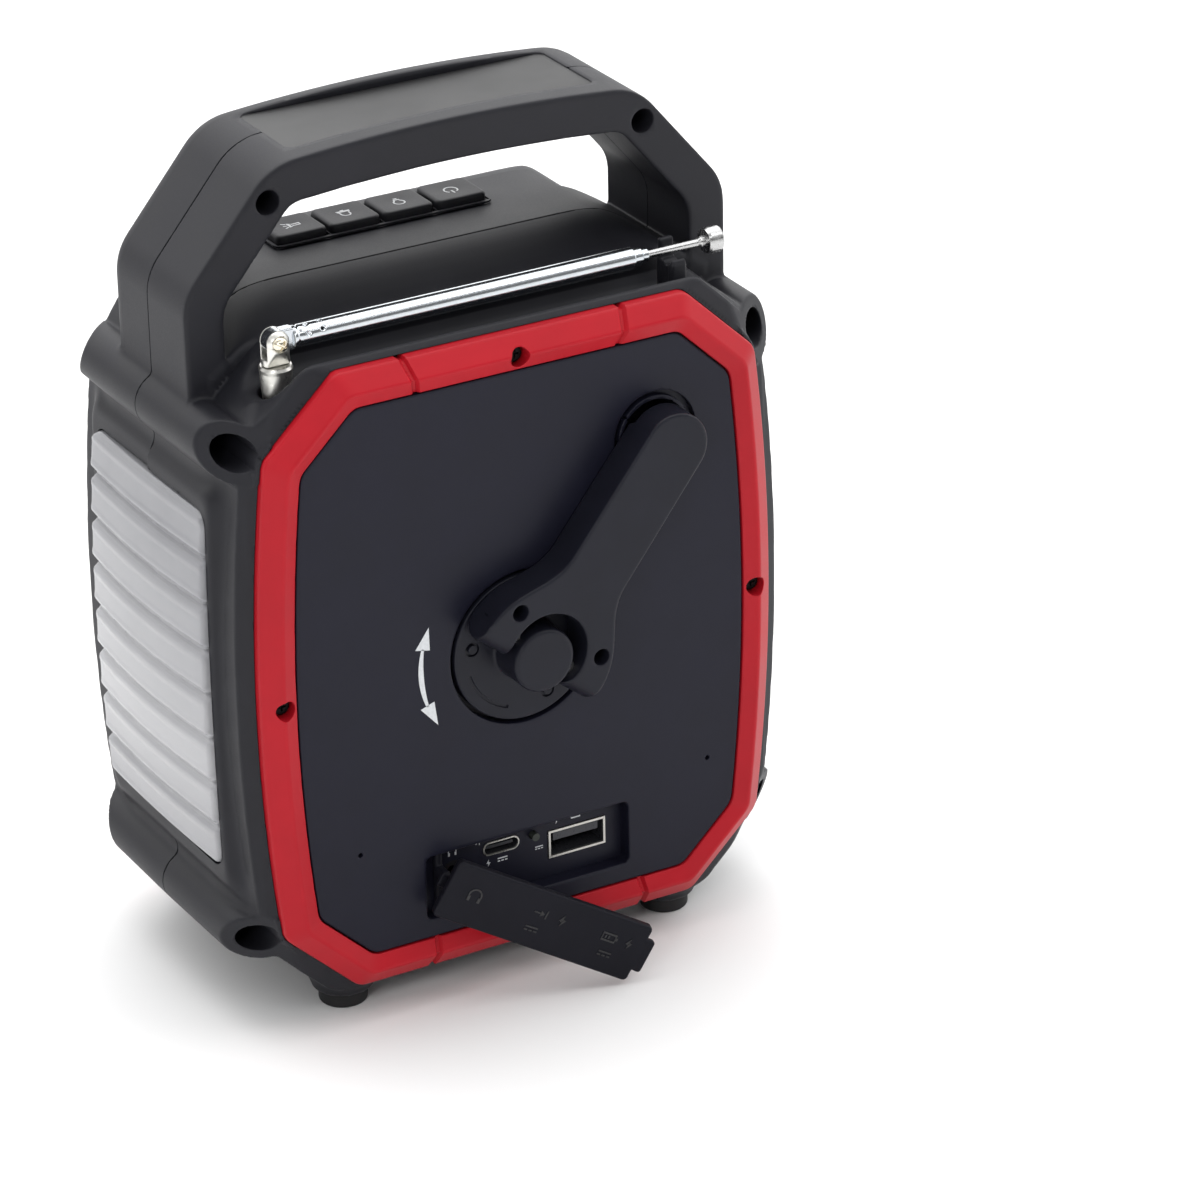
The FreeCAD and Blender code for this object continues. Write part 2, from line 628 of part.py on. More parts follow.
def bezel(rear):
    h = Half(rear)
    low = d.rim_y
    edge, crest = d.bezel_edge, d.bezel_crest
    w = float(d.bezel_width)
    base = h.oct(0.0, low, edge)
    rise = loft(oct_outline(0.0, h.y(edge)), oct_outline(-4.24, h.y(crest)))
    skirt = cut(h.oct(0.0, d.skirt_y, low + 0.2), h.oct(-2.3, d.skirt_y - 1.0, low + 1.0))
    body = fuse(base, rise, skirt)
    bore = h.oct(-w, low - 1.0, crest + 2.0)
    slope = loft(oct_outline(-w, h.y(d.panel_face + 0.1)), oct_outline(-4.24, h.y(crest + 0.02)), )
    tools = [bore, slope]
    for bx, bz in bezel_screws:
        tools.append(h.rod(bx, 0.9, 6.0, bz, 2.3))
        tools.append(h.rod(bx, -2.0, 2.0, bz, 1.1))
    for gx, sz, lean in ((25.0, 1, 3.0), (-25.0, 1, -3.0), (23.5, -1, 1.5), (-28.0, -1, -1.5)):
        pts = [(gx - 1.0 - lean / 2 * 0.3, sz * 62.0), (gx + 1.0 - lean / 2 * 0.3, sz * 62.0), (gx + 1.0 + lean / 2 * 0.3, sz * 73.0), (gx - 1.0 + lean / 2 * 0.3, sz * 73.0)]
        tools.append(h.run_y(2.9, 6.0, pts))
    return cut(body, *tools)


def gear(module, teeth, bore, y0, y1, cx, cz, first, backlash=0.16):
    """A spur gear about y with a tooth at the angle first, in degrees from +x towards +z."""
    n = int(teeth)
    r = module * n / 2.0
    rb, ra, rf = r * math.cos(math.radians(20)), r + 0.8 * module, r - 1.15 * module
    inv = lambda a: math.tan(a) - a
    base = math.pi / (2 * n) + inv(math.radians(20)) - backlash / (2 * r)

    def half(rho):
        return base - inv(math.acos(min(1.0, rb / rho)))

    radii = [max(rb, rf) + (ra - max(rb, rf)) * t for t in (0.0, 0.3, 0.65, 1.0)]
    pts = []
    for k in range(n):
        mid = math.radians(first) + 2 * math.pi * k / n
        flank = [(rf, half(max(rb, rf)) + 0.01)] + [(q, half(q)) for q in radii]
        for q, a in flank:
            pts.append((q, mid - a))
        for q, a in reversed(flank):
            pts.append((q, mid + a))
    ring = [Vector(q * math.cos(a) + cx, y0, q * math.sin(a) + cz) for q, a in pts]
    face = Part.Face(Part.makePolygon(ring + [ring[0]]))
    solid = face.extrude(Vector(0, y1 - y0, 0))
    hole = Part.makeCylinder(bore, y1 - y0 + 2, Vector(cx, y0 - 1, cz), Vector(0, 1, 0))
    return solid.cut(hole)


def feature(name, shape):
    o = doc.addObject("Part::Feature", fresh("made"))
    o.Shape = shape
    return o


# shells, bezels, panels ------------------------------------------------------------------------------------------------

node("rear_shell", shell(True))
node("front_shell", shell(False))
node("rear_bezel", bezel(True))
node("front_bezel", bezel(False))

grow_in = -float(d.bezel_width) - float(d.panel_fit)
plate = oct_run(grow_in, d.rim_y, d.panel_face)
cup = rod("y", pocket_x, -d.pocket_depth - 1.2, pocket_z, d.pocket_radius + 1.4, d.pocket_depth + 1.2 + d.rim_y + 0.2)
tray = box(-26.6, 27.2, -2.6, 0.0, -60.6, -43.0)
usbc = (5.2, -48.3)
usba = (-13.6, -51.4)
jack = (17.0, -51.6)
lamp = (-2.7, -47.8)
rear_panel = cut(
    fuse(plate, cup, tray),
    rod("y", 0.0, -3.0, 0.0, d.hub_radius + d.hub_gap, 8.0),
    rod("y", pocket_x, -d.pocket_depth, pocket_z, d.pocket_ring - 0.9, 16.0),
    cut(rod("y", pocket_x, 0.9, pocket_z, d.pocket_radius, 4.0), rod("y", pocket_x, 0.0, pocket_z, d.pocket_ring, 2.5)),
    run("y", d.port_floor, 5.0, [(d.port_x - d.port_long / 2, d.port_z - d.port_high / 2), (d.port_x + d.port_long / 2, d.port_z - d.port_high / 2), (d.port_x + d.port_long / 2, d.port_z + d.port_high / 2), (d.port_x - d.port_long / 2, d.port_z + d.port_high / 2)], None, [1.0, 2.5, 1.0, 1.0]),
    run("y", -4.0, 4.0, [(usbc[0] - 4.6, usbc[1] - 1.75), (usbc[0] + 4.6, usbc[1] - 1.75), (usbc[0] + 4.6, usbc[1] + 1.75), (usbc[0] - 4.6, usbc[1] + 1.75)], None, [1.7] * 4),
    box(usba[0] - 7.25, usba[0] + 7.25, -4.0, 4.0, usba[1] - 3.45, usba[1] + 3.45),
    rod("y", jack[0], -4.0, jack[1], 3.05, 8.0),
    rod("y", lamp[0], -4.0, lamp[1], 1.0, 8.0),
    rod("y", 41.0, 1.6, -39.0, 0.5, 3.0),
    rod("y", -45.0, 1.6, -39.0, 0.5, 3.0),
)
node("rear_panel", rear_panel)

front_face = MID - d.panel_face
front_seat = MID - d.rim_y
front_panel = cut(
    oct_run(grow_in, front_face, front_seat),
    rod("y", d.speaker_x, -84.0, d.speaker_z, d.speaker_radius + 0.1, 10.0),
    box(-d.display_half, d.display_half, -84.0, -70.0, d.display_z - d.display_tall, d.display_z + d.display_tall),
    rod("y", d.knob_x, -84.0, d.tuning_z, 3.4, 10.0),
    rod("y", d.knob_x, -84.0, d.volume_z, 3.4, 10.0),
    rod("y", d.knob_x, -84.0, d.torch_z, d.torch_radius + 0.1, 10.0),
)
node("front_panel", front_panel)

# crank -----------------------------------------------------------------------------------------------------------------

hub_pin_y = d.hinge_y
disc = rod("y", 0.0, d.hub_back, 0.0, d.hub_radius, d.panel_face - d.hub_back)
post = fuse(rod("y", 0.0, d.panel_face - 0.5, 0.0, d.post_radius, d.post_top - d.panel_face - 0.3), taper("y", 0.0, d.post_top - 0.8, 0.0, d.post_radius, d.post_radius - 0.8, 0.8))
pegs = []
for v in (12.3, -12.3):
    px, pz = uv(2 * float(d.hinge_u) - 6.5, v)
    pegs.append(taper("y", px, d.panel_face, pz, 1.4, 0.7, 1.9))
hx, hz = uv(float(d.hinge_u))
vdir = Rotation(Vector(0, 0, 1), Vector(V[0], 0, V[1]))


def across(radius, half):
    """A rod along the crank hinge axis."""
    o = doc.addObject("Part::Cylinder", fresh("round"))
    o.Radius, o.Height = float(radius), 2 * float(half)
    bind(o, "Radius", radius)
    sx, sz = uv(float(d.hinge_u), -float(half))
    return put(o, sx, d.hinge_y, sz, vdir)


node("crank_hub", cut(fuse(disc, post, *pegs), rod("y", 0.0, -4.0, 0.0, d.shaft_radius, 5.2), across(d.pin_radius, 20.0)))
node("crank_hinge_pin", across(d.pin_radius, 15.0))
node("crank_shaft", rod("y", 0.0, -21.2, 0.0, d.shaft_radius, 22.4))
node("crank_bush", cut(rod("y", 0.0, -9.4, 0.0, 6.0, 7.8), rod("y", 0.0, -12.0, 0.0, d.shaft_radius + 0.05, 14.0)))

# the arm: outline in u, v, then turned so that u follows the stowed direction
arm_pts = []
R, hw, reach = float(d.hub_radius), float(d.arm_half), float(d.arm_reach)


def arm_outline():
    """Points of the arm's outline in u, v: head about the hub, a neck blend, a straight arm and a round tip."""
    pts = []
    ear = float(d.hinge_u) - float(d.ear_round)
    head = math.asin(ear / R)
    blend0 = 10.5  # u where the head circle meets the neck blend
    v0 = math.sqrt(R * R - blend0 * blend0)
    upper = []
    a0, a1 = math.pi / 2 - head, math.acos(blend0 / R)
    for i in range(9):
        a = a0 + (a1 - a0) * i / 8
        upper.append((R * math.cos(a), R * math.sin(a)))
    u1 = 21.0
    for i in range(1, 9):
        t = i / 8.0
        # cubic from the head's slope to the arm's straight side
        m0 = -blend0 / v0
        L = u1 - blend0
        h00, h10, h01, h11 = 2 * t**3 - 3 * t**2 + 1, t**3 - 2 * t**2 + t, -2 * t**3 + 3 * t**2, t**3 - t**2
        upper.append((blend0 + L * t, h00 * v0 + h10 * L * m0 + h01 * (hw + 0.2) + h11 * L * -0.02))
    upper.append((reach, 7.75))
    return ear, upper


ear_u, upper = arm_outline()
frame_rot = Rotation(Vector(U[0], 0, U[1]), Vector(V[0], 0, V[1]), Vector(0, -1, 0), "XYZ")


def arm_run(y0, y1, segments):
    """A prism along y of a closed outline given in u, v; segments are polylines, or three points of an arc."""
    sk = doc.addObject("Sketcher::SketchObject", fresh("outline"))
    geo = []
    for kind, pts in segments:
        vs = [Vector(float(a), float(b), 0) for a, b in pts]
        if kind == "arc":
            geo.append(Part.Arc(*vs))
        elif kind == "curve":
            c = Part.BSplineCurve()
            c.interpolate(vs)
            geo.append(c)
        else:
            geo += [Part.LineSegment(a, b) for a, b in zip(vs, vs[1:])]
    sk.addGeometry(geo, False)
    put(sk, 0.0, y0, 0.0, frame_rot)
    o = doc.addObject("Part::Extrusion", fresh("run"))
    o.Base = sk
    o.DirMode = "Custom"
    o.Dir = Vector(0, 1, 0)
    o.LengthFwd = float(y1) - float(y0)
    size = y1 - y0
    if isinstance(size, Q):
        o.setExpression("LengthFwd", size.text)
    o.Solid = True
    return o


head_pts = upper[:9]
neck_pts2 = upper[8:-1]
tip_r = 7.75
up_side = [("arc", [head_pts[0], head_pts[4], head_pts[8]]), ("curve", neck_pts2), ("line", [upper[-2], upper[-1]])]
low = lambda pts: [(a, -b) for a, b in reversed(pts)]
down_side = [("line", low([upper[-2], upper[-1]])), ("curve", low(neck_pts2)), ("arc", low([head_pts[0], head_pts[4], head_pts[8]]))]
arm_blank = arm_run(d.arm_low, d.arm_high, up_side + [("arc", [(reach, tip_r), (reach + tip_r, 0.0), (reach, -tip_r)])] + down_side + [("line", [(head_pts[0][0], -head_pts[0][1]), head_pts[0]])])
# the ears are rounded about the hinge axis: shared with a bar that has a round end
ear_bar = fuse(
    arm_run(d.arm_low - 1.0, d.arm_high + 1.0, [("line", [(float(d.hinge_u), -25), (70, -25), (70, 25), (float(d.hinge_u), 25), (float(d.hinge_u), -25)])]),
    across(d.ear_round, 25.0),
)
wx, wz = uv(1.6)
tools = [rod("y", wx, 0.0, wz, d.post_window, 14.0), across(d.pin_radius + 0.06, 16.5)]
for v in (12.3, -12.3):
    px, pz = uv(6.5, v)
    tools.append(rod("y", px, 0.0, pz, 2.0, 14.0))
tools.append(rod("y", pocket_x, 1.0, pocket_z, d.grip_radius + 0.3, 9.5))
# the underside of the tip is relieved so that the folded arm sweeps over the raised bezel
tools.append(turned([(51.8, 0.0), (64.0, 0.0), (64.0, 3.05), (53.7, 3.05)], 0.0, 1.5, 0.0, "y"))
crank_arm = cut(common(arm_blank, ear_bar), *tools)
node("crank_arm", crank_arm)

spindle = turned([(0.0, 0.0), (2.0, 0.0), (2.0, 4.8), (4.6, 4.8), (4.6, 5.6), (0.0, 5.6)], pocket_x, 4.7, pocket_z, "y")
node("grip_spindle", spindle)
g = d.grip_radius
grip = turned([(2.06, 0.0), (g - 0.7, 0.0), (g, 0.7), (g, 4.4), (g - 0.6, 4.7), (2.06, 4.7)], pocket_x, 4.6, pocket_z, "y")
node("crank_grip", grip)

# generator train ---------------------------------------------------------------------------------------------------------

m1, m2 = float(d.drive_module), float(d.wheel_module)
node("drive_gear", feature("drive_gear", gear(m1, d.drive_teeth, float(d.shaft_radius) + 0.03, -14.0, -10.0, 0.0, 0.0, idler_angle)))
small = gear(m1, d.idler_teeth, 1.56, -14.6, -9.4, idler_x, idler_z, idler_angle + 180 + 180.0 / 12)
large = gear(m2, d.wheel_teeth, 1.56, -17.6, -14.6, idler_x, idler_z, 90.0)
node("idler_gear", feature("idler_gear", small.fuse(large)))
node("motor_pinion", fuse(feature("motor_pinion", gear(m2, d.pinion_teeth, 0.9, -17.9, -14.3, motor_x, motor_z, 270.0 + 180.0 / 12)), rod("y", motor_x, -22.0, motor_z, 1.0, 7.8)))
plate_pts = [(-21.5, -28.0), (47.0, -12.0), (49.0, 20.0), (40.0, 46.0), (12.0, 46.0), (-1.0, 38.0), (-21.5, -12.0)]
gearbox_plate = cut(
    run("y", -20.0, -18.2, plate_pts, None, [4.0] * 7),
    rod("y", 0.0, -22.0, 0.0, d.shaft_radius + 0.06, 6.0),
    rod("y", motor_x, -22.0, motor_z, 4.0, 6.0),
    *[rod("y", px, -22.0, pz, 1.1, 6.0) for px, pz in plate_posts],
)
# the idler's pin is staked into the plate
node("gearbox_plate", fuse(gearbox_plate, rod("y", idler_x, -20.0, idler_z, 1.5, 15.0)))
motor = fuse(
    turned([(1.3, 0.0), (12.0, 0.0), (d.motor_radius, 1.5), (d.motor_radius, d.motor_length), (1.3, d.motor_length)], motor_x, -20.1 - d.motor_length, motor_z, "y"),
    cut(rod("y", motor_x, -20.1, motor_z, 3.9, 1.6), rod("y", motor_x, -21.0, motor_z, 1.3, 4.0)),
)
node("generator_motor", motor)

# antenna -----------------------------------------------------------------------------------------------------------------

ax_, ay_, az_ = d.antenna_x, d.antenna_y, d.antenna_z
socket = turned([(0.0, 0.0), (2.95, 0.0), (2.95, 5.4), (3.0, 6.0), (3.45, 13.6), (3.6, 14.4), (3.3, 15.0), (1.3, 15.0), (1.3, 13.0), (0.0, 13.0)], ax_, ay_, 56.6, "z")
node("antenna_socket", socket)
# the clip that the antenna rests in: a foot pressed into the shell and a taller prong on its inner side
node("antenna_clip", fuse(box(-47.0, -43.6, -14.2, -7.9, 63.85, 74.3), box(-47.0, -43.6, -14.2, -12.9, 74.0, 78.4)))
knuckle_low = 71.75
knuckle = cut(
    fuse(
        rod("z", ax_, ay_, knuckle_low, 3.0, az_ - knuckle_low),
        rod("z", ax_, ay_, knuckle_low - 1.9, 1.2, 3.0),
        common(rod("y", ax_, ay_ - 3.4, az_, 3.0, 6.8), rod("z", ax_, ay_, 70.0, 3.0, 14.0)),
    ),
    box(ax_ - 6.0, ax_ + 6.0, ay_ - 1.45, ay_ + 1.45, 72.9, 82.0),
    rod("y", ax_, ay_ - 5.0, az_, 0.95, 10.0),
    rod("y", ax_, ay_ + 2.45, az_, 1.85, 3.0),
)
node("antenna_knuckle", knuckle)
screw_pin = fuse(rod("y", ax_, ay_ - 2.6, az_, 0.95, 5.6), taper("y", ax_, ay_ + 2.5, az_, 1.75, 1.35, 0.9))
node("antenna_screw", screw_pin)


def x_turned(profile, x):
    """Turned about the antenna's own axis; the profile runs from x towards -x."""
    body = turned(profile, x, ay_, az_, "x")
    body.Placement = Placement(Vector(float(x), float(ay_), float(az_)), Rotation(Vector(0, 1, 0), -90))
    bind(body, "Placement.Base.x", x)
    bind(body, "Placement.Base.y", ay_)
    bind(body, "Placement.Base.z", az_)
    return body


t1, t2, t3, t4 = d.tube_one, d.tube_two, d.tube_three, d.tube_tip
tongue = cut(
    fuse(common(box(ax_ - 5.2, ax_ + 2.6, ay_ - 1.3, ay_ + 1.3, az_ - 2.6, az_ + 2.6), rod("y", ax_, ay_ - 3.0, az_, 5.2, 6.0)), ),
    rod("y", ax_, ay_ - 5.0, az_, 1.01, 10.0),
    box(ax_ - 8.0, ax_ - 3.9, ay_ - 4.0, ay_ + 4.0, az_ - 4.0, az_ + 4.0),
)
tube1 = x_turned([(0.0, 0.0), (2.0, 0.0), (t1, 0.8), (t1, 80.3), (t2 + 0.06, 80.9), (t2 + 0.06, 6.0), (0.0, 6.0)], ax_ - 3.6)
node("antenna_tube_1", fuse(tongue, tube1))
node("antenna_tube_2", x_turned([(t3 + 0.06, 0.0), (t2, 0.0), (t2, 74.9), (t3 + 0.06, 75.3)], ax_ - 11.5))
node("antenna_tube_3", x_turned([(t4 + 0.06, 0.0), (t3, 0.0), (t3, 75.4), (t4 + 0.06, 75.8)], ax_ - 12.6))
tip = x_turned([(0.0, 0.0), (t4, 0.0), (t4, 86.4), (1.2, 87.0), (1.2, 88.0), (2.7, 88.2), (2.9, 88.8), (2.9, 91.4), (2.6, 91.8), (0.0, 91.8)], ax_ - 14.2)
node("antenna_tip", tip)

# ports ---------------------------------------------------------------------------------------------------------------------

node("port_board", cut(fuse(box(-24.0, 24.0, -14.2, -12.6, -60.5, -43.5), rod("y", lamp[0], -12.7, lamp[1], 0.9, 13.4)), box(3.0, 7.0, -15.0, -12.0, -60.6, -58.0)))
usb_c = cut(
    run("y", -12.5, -0.7, [(usbc[0] - 4.47, usbc[1] - 1.6), (usbc[0] + 4.47, usbc[1] - 1.6), (usbc[0] + 4.47, usbc[1] + 1.6), (usbc[0] - 4.47, usbc[1] + 1.6)], None, [1.58] * 4),
    cut(
        run("y", -7.5, 0.0, [(usbc[0] - 4.17, usbc[1] - 1.3), (usbc[0] + 4.17, usbc[1] - 1.3), (usbc[0] + 4.17, usbc[1] + 1.3), (usbc[0] - 4.17, usbc[1] + 1.3)], None, [1.28] * 4),
        box(usbc[0] - 3.3, usbc[0] + 3.3, -8.0, -1.6, usbc[1] - 0.35, usbc[1] + 0.35),
    ),
)
node("usb_c_port", usb_c)
usb_a = cut(
    box(usba[0] - 7.1, usba[0] + 7.1, -12.5, -0.6, usba[1] - 3.3, usba[1] + 3.3),
    cut(
        box(usba[0] - 6.6, usba[0] + 6.6, -11.0, 0.0, usba[1] - 2.8, usba[1] + 2.8),
        box(usba[0] - 5.6, usba[0] + 5.6, -12.0, -1.4, usba[1] + 0.4, usba[1] + 2.2),
    ),
)
node("usb_a_port", usb_a)
node("headphone_jack", cut(fuse(rod("y", jack[0], -4.5, jack[1], 3.0, 3.4), box(jack[0] - 3.4, jack[0] + 3.4, -12.5, -4.4, jack[1] - 3.4, jack[1] + 3.4)), rod("y", jack[0], -11.0, jack[1], 1.8, 12.0)))

# The port cover hangs open: its tether swings about a vertical axis, and the cover droops about the cover's own normal.
SWING, DROOP = math.radians(15.0), math.radians(28.6)
pivot = Vector(22.6, 6.3, -49.6)
e1 = Vector(-math.cos(DROOP) * math.cos(SWING), math.cos(DROOP) * math.sin(SWING), -math.sin(DROOP))
en = Vector(math.sin(SWING), math.cos(SWING), 0)
e3 = e1.cross(en)
if e3.z < 0:
    e3 = -e3
print("cover axes", e1, en, e3)
side_way = en.cross(e3)
cover_rot = Rotation(side_way, en, e3, "XYZ")
flip = 1.0 if side_way.dot(e1) > 0 else -1.0


def cover_box(a0, a1, n0, n1, c0, c1):
    """A block in the cover's own axes: a along it from the pivot, n outwards, c up."""
    o = doc.addObject("Part::Box", fresh("block"))
    lo = (a0 if flip > 0 else -a1)
    o.Length, o.Width, o.Height = float(a1 - a0), float(n1 - n0), float(c1 - c0)
    base = pivot + side_way * float(lo) + en * float(n0) + e3 * float(c0)
    o.Placement = Placement(base, cover_rot)
    return o


def cover_rod(a, n0, n1, c, radius):
    o = doc.addObject("Part::Cylinder", fresh("round"))
    o.Radius, o.Height = float(radius), float(n1 - n0)
    o.Placement = Placement(pivot + e1 * float(a) + en * float(n0) + e3 * float(c), Rotation(Vector(0, 0, 1), en))
    return o


half_c = float(d.cover_high) / 2
thick = float(d.cover_thick)
long_c = float(d.cover_long)
cover_blank = fuse(
    cover_box(-0.6, long_c - 0.6, 0.0, thick, -half_c, half_c),
    cover_box(4.0, long_c - 4.0, -1.2, 0.1, -half_c + 1.2, half_c - 1.2),
    cover_box(long_c - 0.7, long_c + 1.3, 0.7, thick, -4.0, 4.0),
)
cover = cut(cover_blank, cover_rod(1.9, -3.0, 0.6, 0.0, 1.5), cover_box(-3.0, 1.9, -3.0, 0.6, -1.8, 1.8))
node("port_cover", cover)
# the tether: a round bar that turns between the walls of the recess, a strap, and a button that holds the cover
tether = fuse(
    rod("z", 21.5, 0.45, -59.0, 0.95, 14.5),
    box(20.75, 22.25, 0.45, 4.75, -51.6, -47.6),
    cover_rod(1.9, -1.6, 0.3, 0.0, 1.2),
    cover_box(-1.3, 3.1, -2.6, -1.4, -1.6, 1.6),
)
node("cover_tether", tether)

# keys ---------------------------------------------------------------------------------------------------------------------------

kx0 = d.key_mid_x - 1.5 * d.key_pitch
kw, kd = d.key_wide / 2, d.key_deep / 2
key_frame_tools = []
for i in range(4):
    cx = kx0 + i * d.key_pitch
    key_frame_tools.append(box(cx - kw - 0.3, cx + kw + 0.3, d.key_mid_y - kd - 0.3, d.key_mid_y + kd + 0.3, 77.0, 82.0))
span = 2 * float(d.key_pitch)
key_frame = cut(
    run("z", d.deck_z, d.deck_z + 0.4, [(float(d.key_mid_x) - span - 0.6, float(d.key_mid_y) - 6.7), (float(d.key_mid_x) + span + 0.6, float(d.key_mid_y) - 6.7), (float(d.key_mid_x) + span + 0.6, float(d.key_mid_y) + 6.7), (float(d.key_mid_x) - span - 0.6, float(d.key_mid_y) + 6.7)], None, [1.9] * 4),
    *key_frame_tools,
)
node("key_frame", key_frame)
# seen from the front the row runs: power, lantern, siren, torch from -x to +x
for i, name in enumerate(("key_power", "key_lantern", "key_siren", "key_torch")):
    cx = kx0 + i * d.key_pitch
    cxf, cyf = float(cx), float(d.key_mid_y)
    a, b = float(kw), float(kd)
    cap = run("z", 73.9, d.key_top, [(cxf - a, cyf - b), (cxf + a, cyf - b), (cxf + a, cyf + b), (cxf - a, cyf + b)], None, [1.6] * 4)
    flange = box(cx - kw - 0.35, cx + kw + 0.35, d.key_mid_y - kd - 1.0, d.key_mid_y + kd + 1.0, 72.9, 73.7)
    stem = rod("z", cx, d.key_mid_y, 72.6, 1.6, 1.6)
    node(name, fuse(cap, stem))
switches = [box(-26.0, 29.2, -65.4, -51.0, 66.6, 68.2)]
for i in range(4):
    cx = kx0 + i * d.key_pitch
    switches += [box(cx - 3.0, cx + 3.0, d.key_mid_y - 3.0, d.key_mid_y + 3.0, 68.2, 70.9), rod("z", cx, d.key_mid_y, 70.8, 1.5, 0.7)]
node("key_board", fuse(*switches))

# lantern lenses, boards ------------------------------------------------------------------------------------------------------------

lens_mid = (float(d.lens_front) + float(d.lens_rear)) / 2
lens_hd = (float(d.lens_rear) - float(d.lens_front)) / 2
lens_hh = float(d.lens_half)


def lens_skin(inset, crown, sx, seat):
    """A doubly curved cushion: a loft of cross sections stacked up the height."""
    sections = []
    steps = 8
    for i in range(steps + 1):
        z = -lens_hh + inset + (2 * lens_hh - 2 * inset) * i / steps
        f = 1 - (z / lens_hh) ** 2
        edge = 66.4 + 1.6 * f - inset * 0.6
        mid = edge + (crown - 68.0) * (0.35 + 0.65 * f)
        a = lens_hd - inset - 0.2
        pts = [(seat, lens_mid - a), (edge, lens_mid - a), (edge, lens_mid + a), (seat, lens_mid + a)]
        pts = [(sx * x, y) for x, y in pts]
        sk = outline("z", z, pts, {1: (sx * mid, lens_mid)})
        sections.append(sk)
    return loft(*sections)


def rib_cuts(sx):
    """Horizontal grooves that part the lens into louvres."""
    out = []
    pitch = 2 * lens_hh / 8
    for i in range(1, 8):
        z = -lens_hh + pitch * i
        pts = [(68.3, z + 0.3), (73.0, z - 1.2), (73.0, z + 2.4)]
        out.append(run("y", d.lens_front - 2.0, d.lens_rear + 2.0, [(sx * x, q) for x, q in pts]))
    return out


for sx, name in ((1, "lantern_lens_right"), (-1, "lantern_lens_left")):
    outer_l = lens_skin(0.0, float(d.lens_crown), sx, float(d.lens_seat))
    inner_l = lens_skin(2.4, float(d.lens_crown) - 2.0, sx, float(d.lens_seat) - 2.0)
    node(name, cut(cut(outer_l, *rib_cuts(sx)), inner_l))
boards = []
for sx in (1, -1):
    lo, hi = (58.6, 60.0) if sx > 0 else (-60.0, -58.6)
    plate_b = box(lo, hi, -60.5, -16.5, -36.5, 36.5)
    leds = [rod("x", 59.9 if sx > 0 else -61.4, -38.5 + 14.0 * j, 24.0 * k, 2.2, 1.5) for j in (-1, 1) for k in (-1, 0, 1)]
    boards.append(fuse(plate_b, *leds))
group = doc.addObject("Part::Compound", fresh("group"))
group.Links = boards
node("lantern_boards", group)

# solar window and cell ------------------------------------------------------------------------------------------------------------------

node("solar_window", box(-d.solar_half + 0.15, d.solar_half - 0.15, MID - d.solar_y_rear + 0.15, d.solar_y_rear - 0.15, d.solar_floor, d.solar_floor + 1.2))
node("solar_cell", box(-35.0, 35.0, -48.4, -28.6, 108.0, 109.1))

# front controls ---------------------------------------------------------------------------------------------------------------------------

gx, gz, gr = d.speaker_x, d.speaker_z, d.speaker_radius
slots = []
for k in range(-5, 6):
    zc = k * 4.6
    half_w = math.sqrt(max(1.0, (float(gr) - 3.2) ** 2 - (abs(zc) + 1.1) ** 2))
    slots.append(box(gx - half_w, gx + half_w, -84.0, -74.0, gz + zc - 1.1, gz + zc + 1.1))
grille = cut(turned([(0.0, 0.0), (gr, 0.0), (gr, 1.8), (gr - 1.2, 3.0), (0.0, 3.0)], gx, -77.8, gz, "y"), *slots)
# the grille's face is towards the front
grille_disc = cut(rod("y", gx, -80.4, gz, gr, 2.4), *slots)
node("speaker_grille", grille_disc)
frame = cut(
    fuse(rod("y", gx, -77.4, gz, 27.6, 3.0), taper("y", gx, -74.4, gz, 27.0, 15.0, 12.0), rod("y", gx, -62.4, gz, 15.0, 8.0)),
    rod("y", gx, -78.0, gz, 24.5, 2.0),
    taper("y", gx, -76.1, gz, 24.5, 6.5, 12.5),
)
node("speaker_frame", frame)
cone = cut(taper("y", gx, -75.9, gz, 24.0, 6.2, 12.0), taper("y", gx, -76.6, gz, 24.0, 6.0, 12.0))
node("speaker_cone", cone)
node("display_window", box(-d.display_half + 0.15, d.display_half - 0.15, front_face, front_face + 1.6, d.display_z - d.display_tall + 0.15, d.display_z + d.display_tall - 0.15))
node("display_module", fuse(box(-34.5, 34.5, -77.6, -74.4, d.display_z - 8.6, d.display_z + 8.6), box(-36.5, 36.5, -74.4, -72.9, d.display_z - 12.0, d.display_z + 12.0)))


def knob(name, z, radius, tall):
    r = radius
    prof = [(0.0, 0.0), (2.9, 0.0), (2.9, 3.6), (r - 1.0, 3.6), (r, 4.2), (r - 0.6, tall - 1.2), (r - 1.8, tall), (0.0, tall)]
    b = turned(prof, d.knob_x, -76.4, z, "y")
    # turned bodies point to +y; the knob points to the front
    b.Placement = Placement(Vector(float(d.knob_x), -76.4, float(z)), Rotation(Vector(1, 0, 0), 90))
    bind(b, "Placement.Base.x", d.knob_x)
    bind(b, "Placement.Base.z", z)
    flutes = []
    n = 18 if float(radius) > 10 else 14
    for k in range(n):
        a = 2 * math.pi * k / n
        flutes.append(rod("y", d.knob_x + (float(radius) + 0.35) * math.cos(a), -92.0, z + (float(radius) + 0.35) * math.sin(a), 0.9, 11.0))
    shaft = rod("y", d.knob_x, -80.0, z, 2.0, 10.0)
    bore = rod("y", d.knob_x, -80.0, z, 2.0, 6.0)
    node(name, cut(b, bore, *flutes))


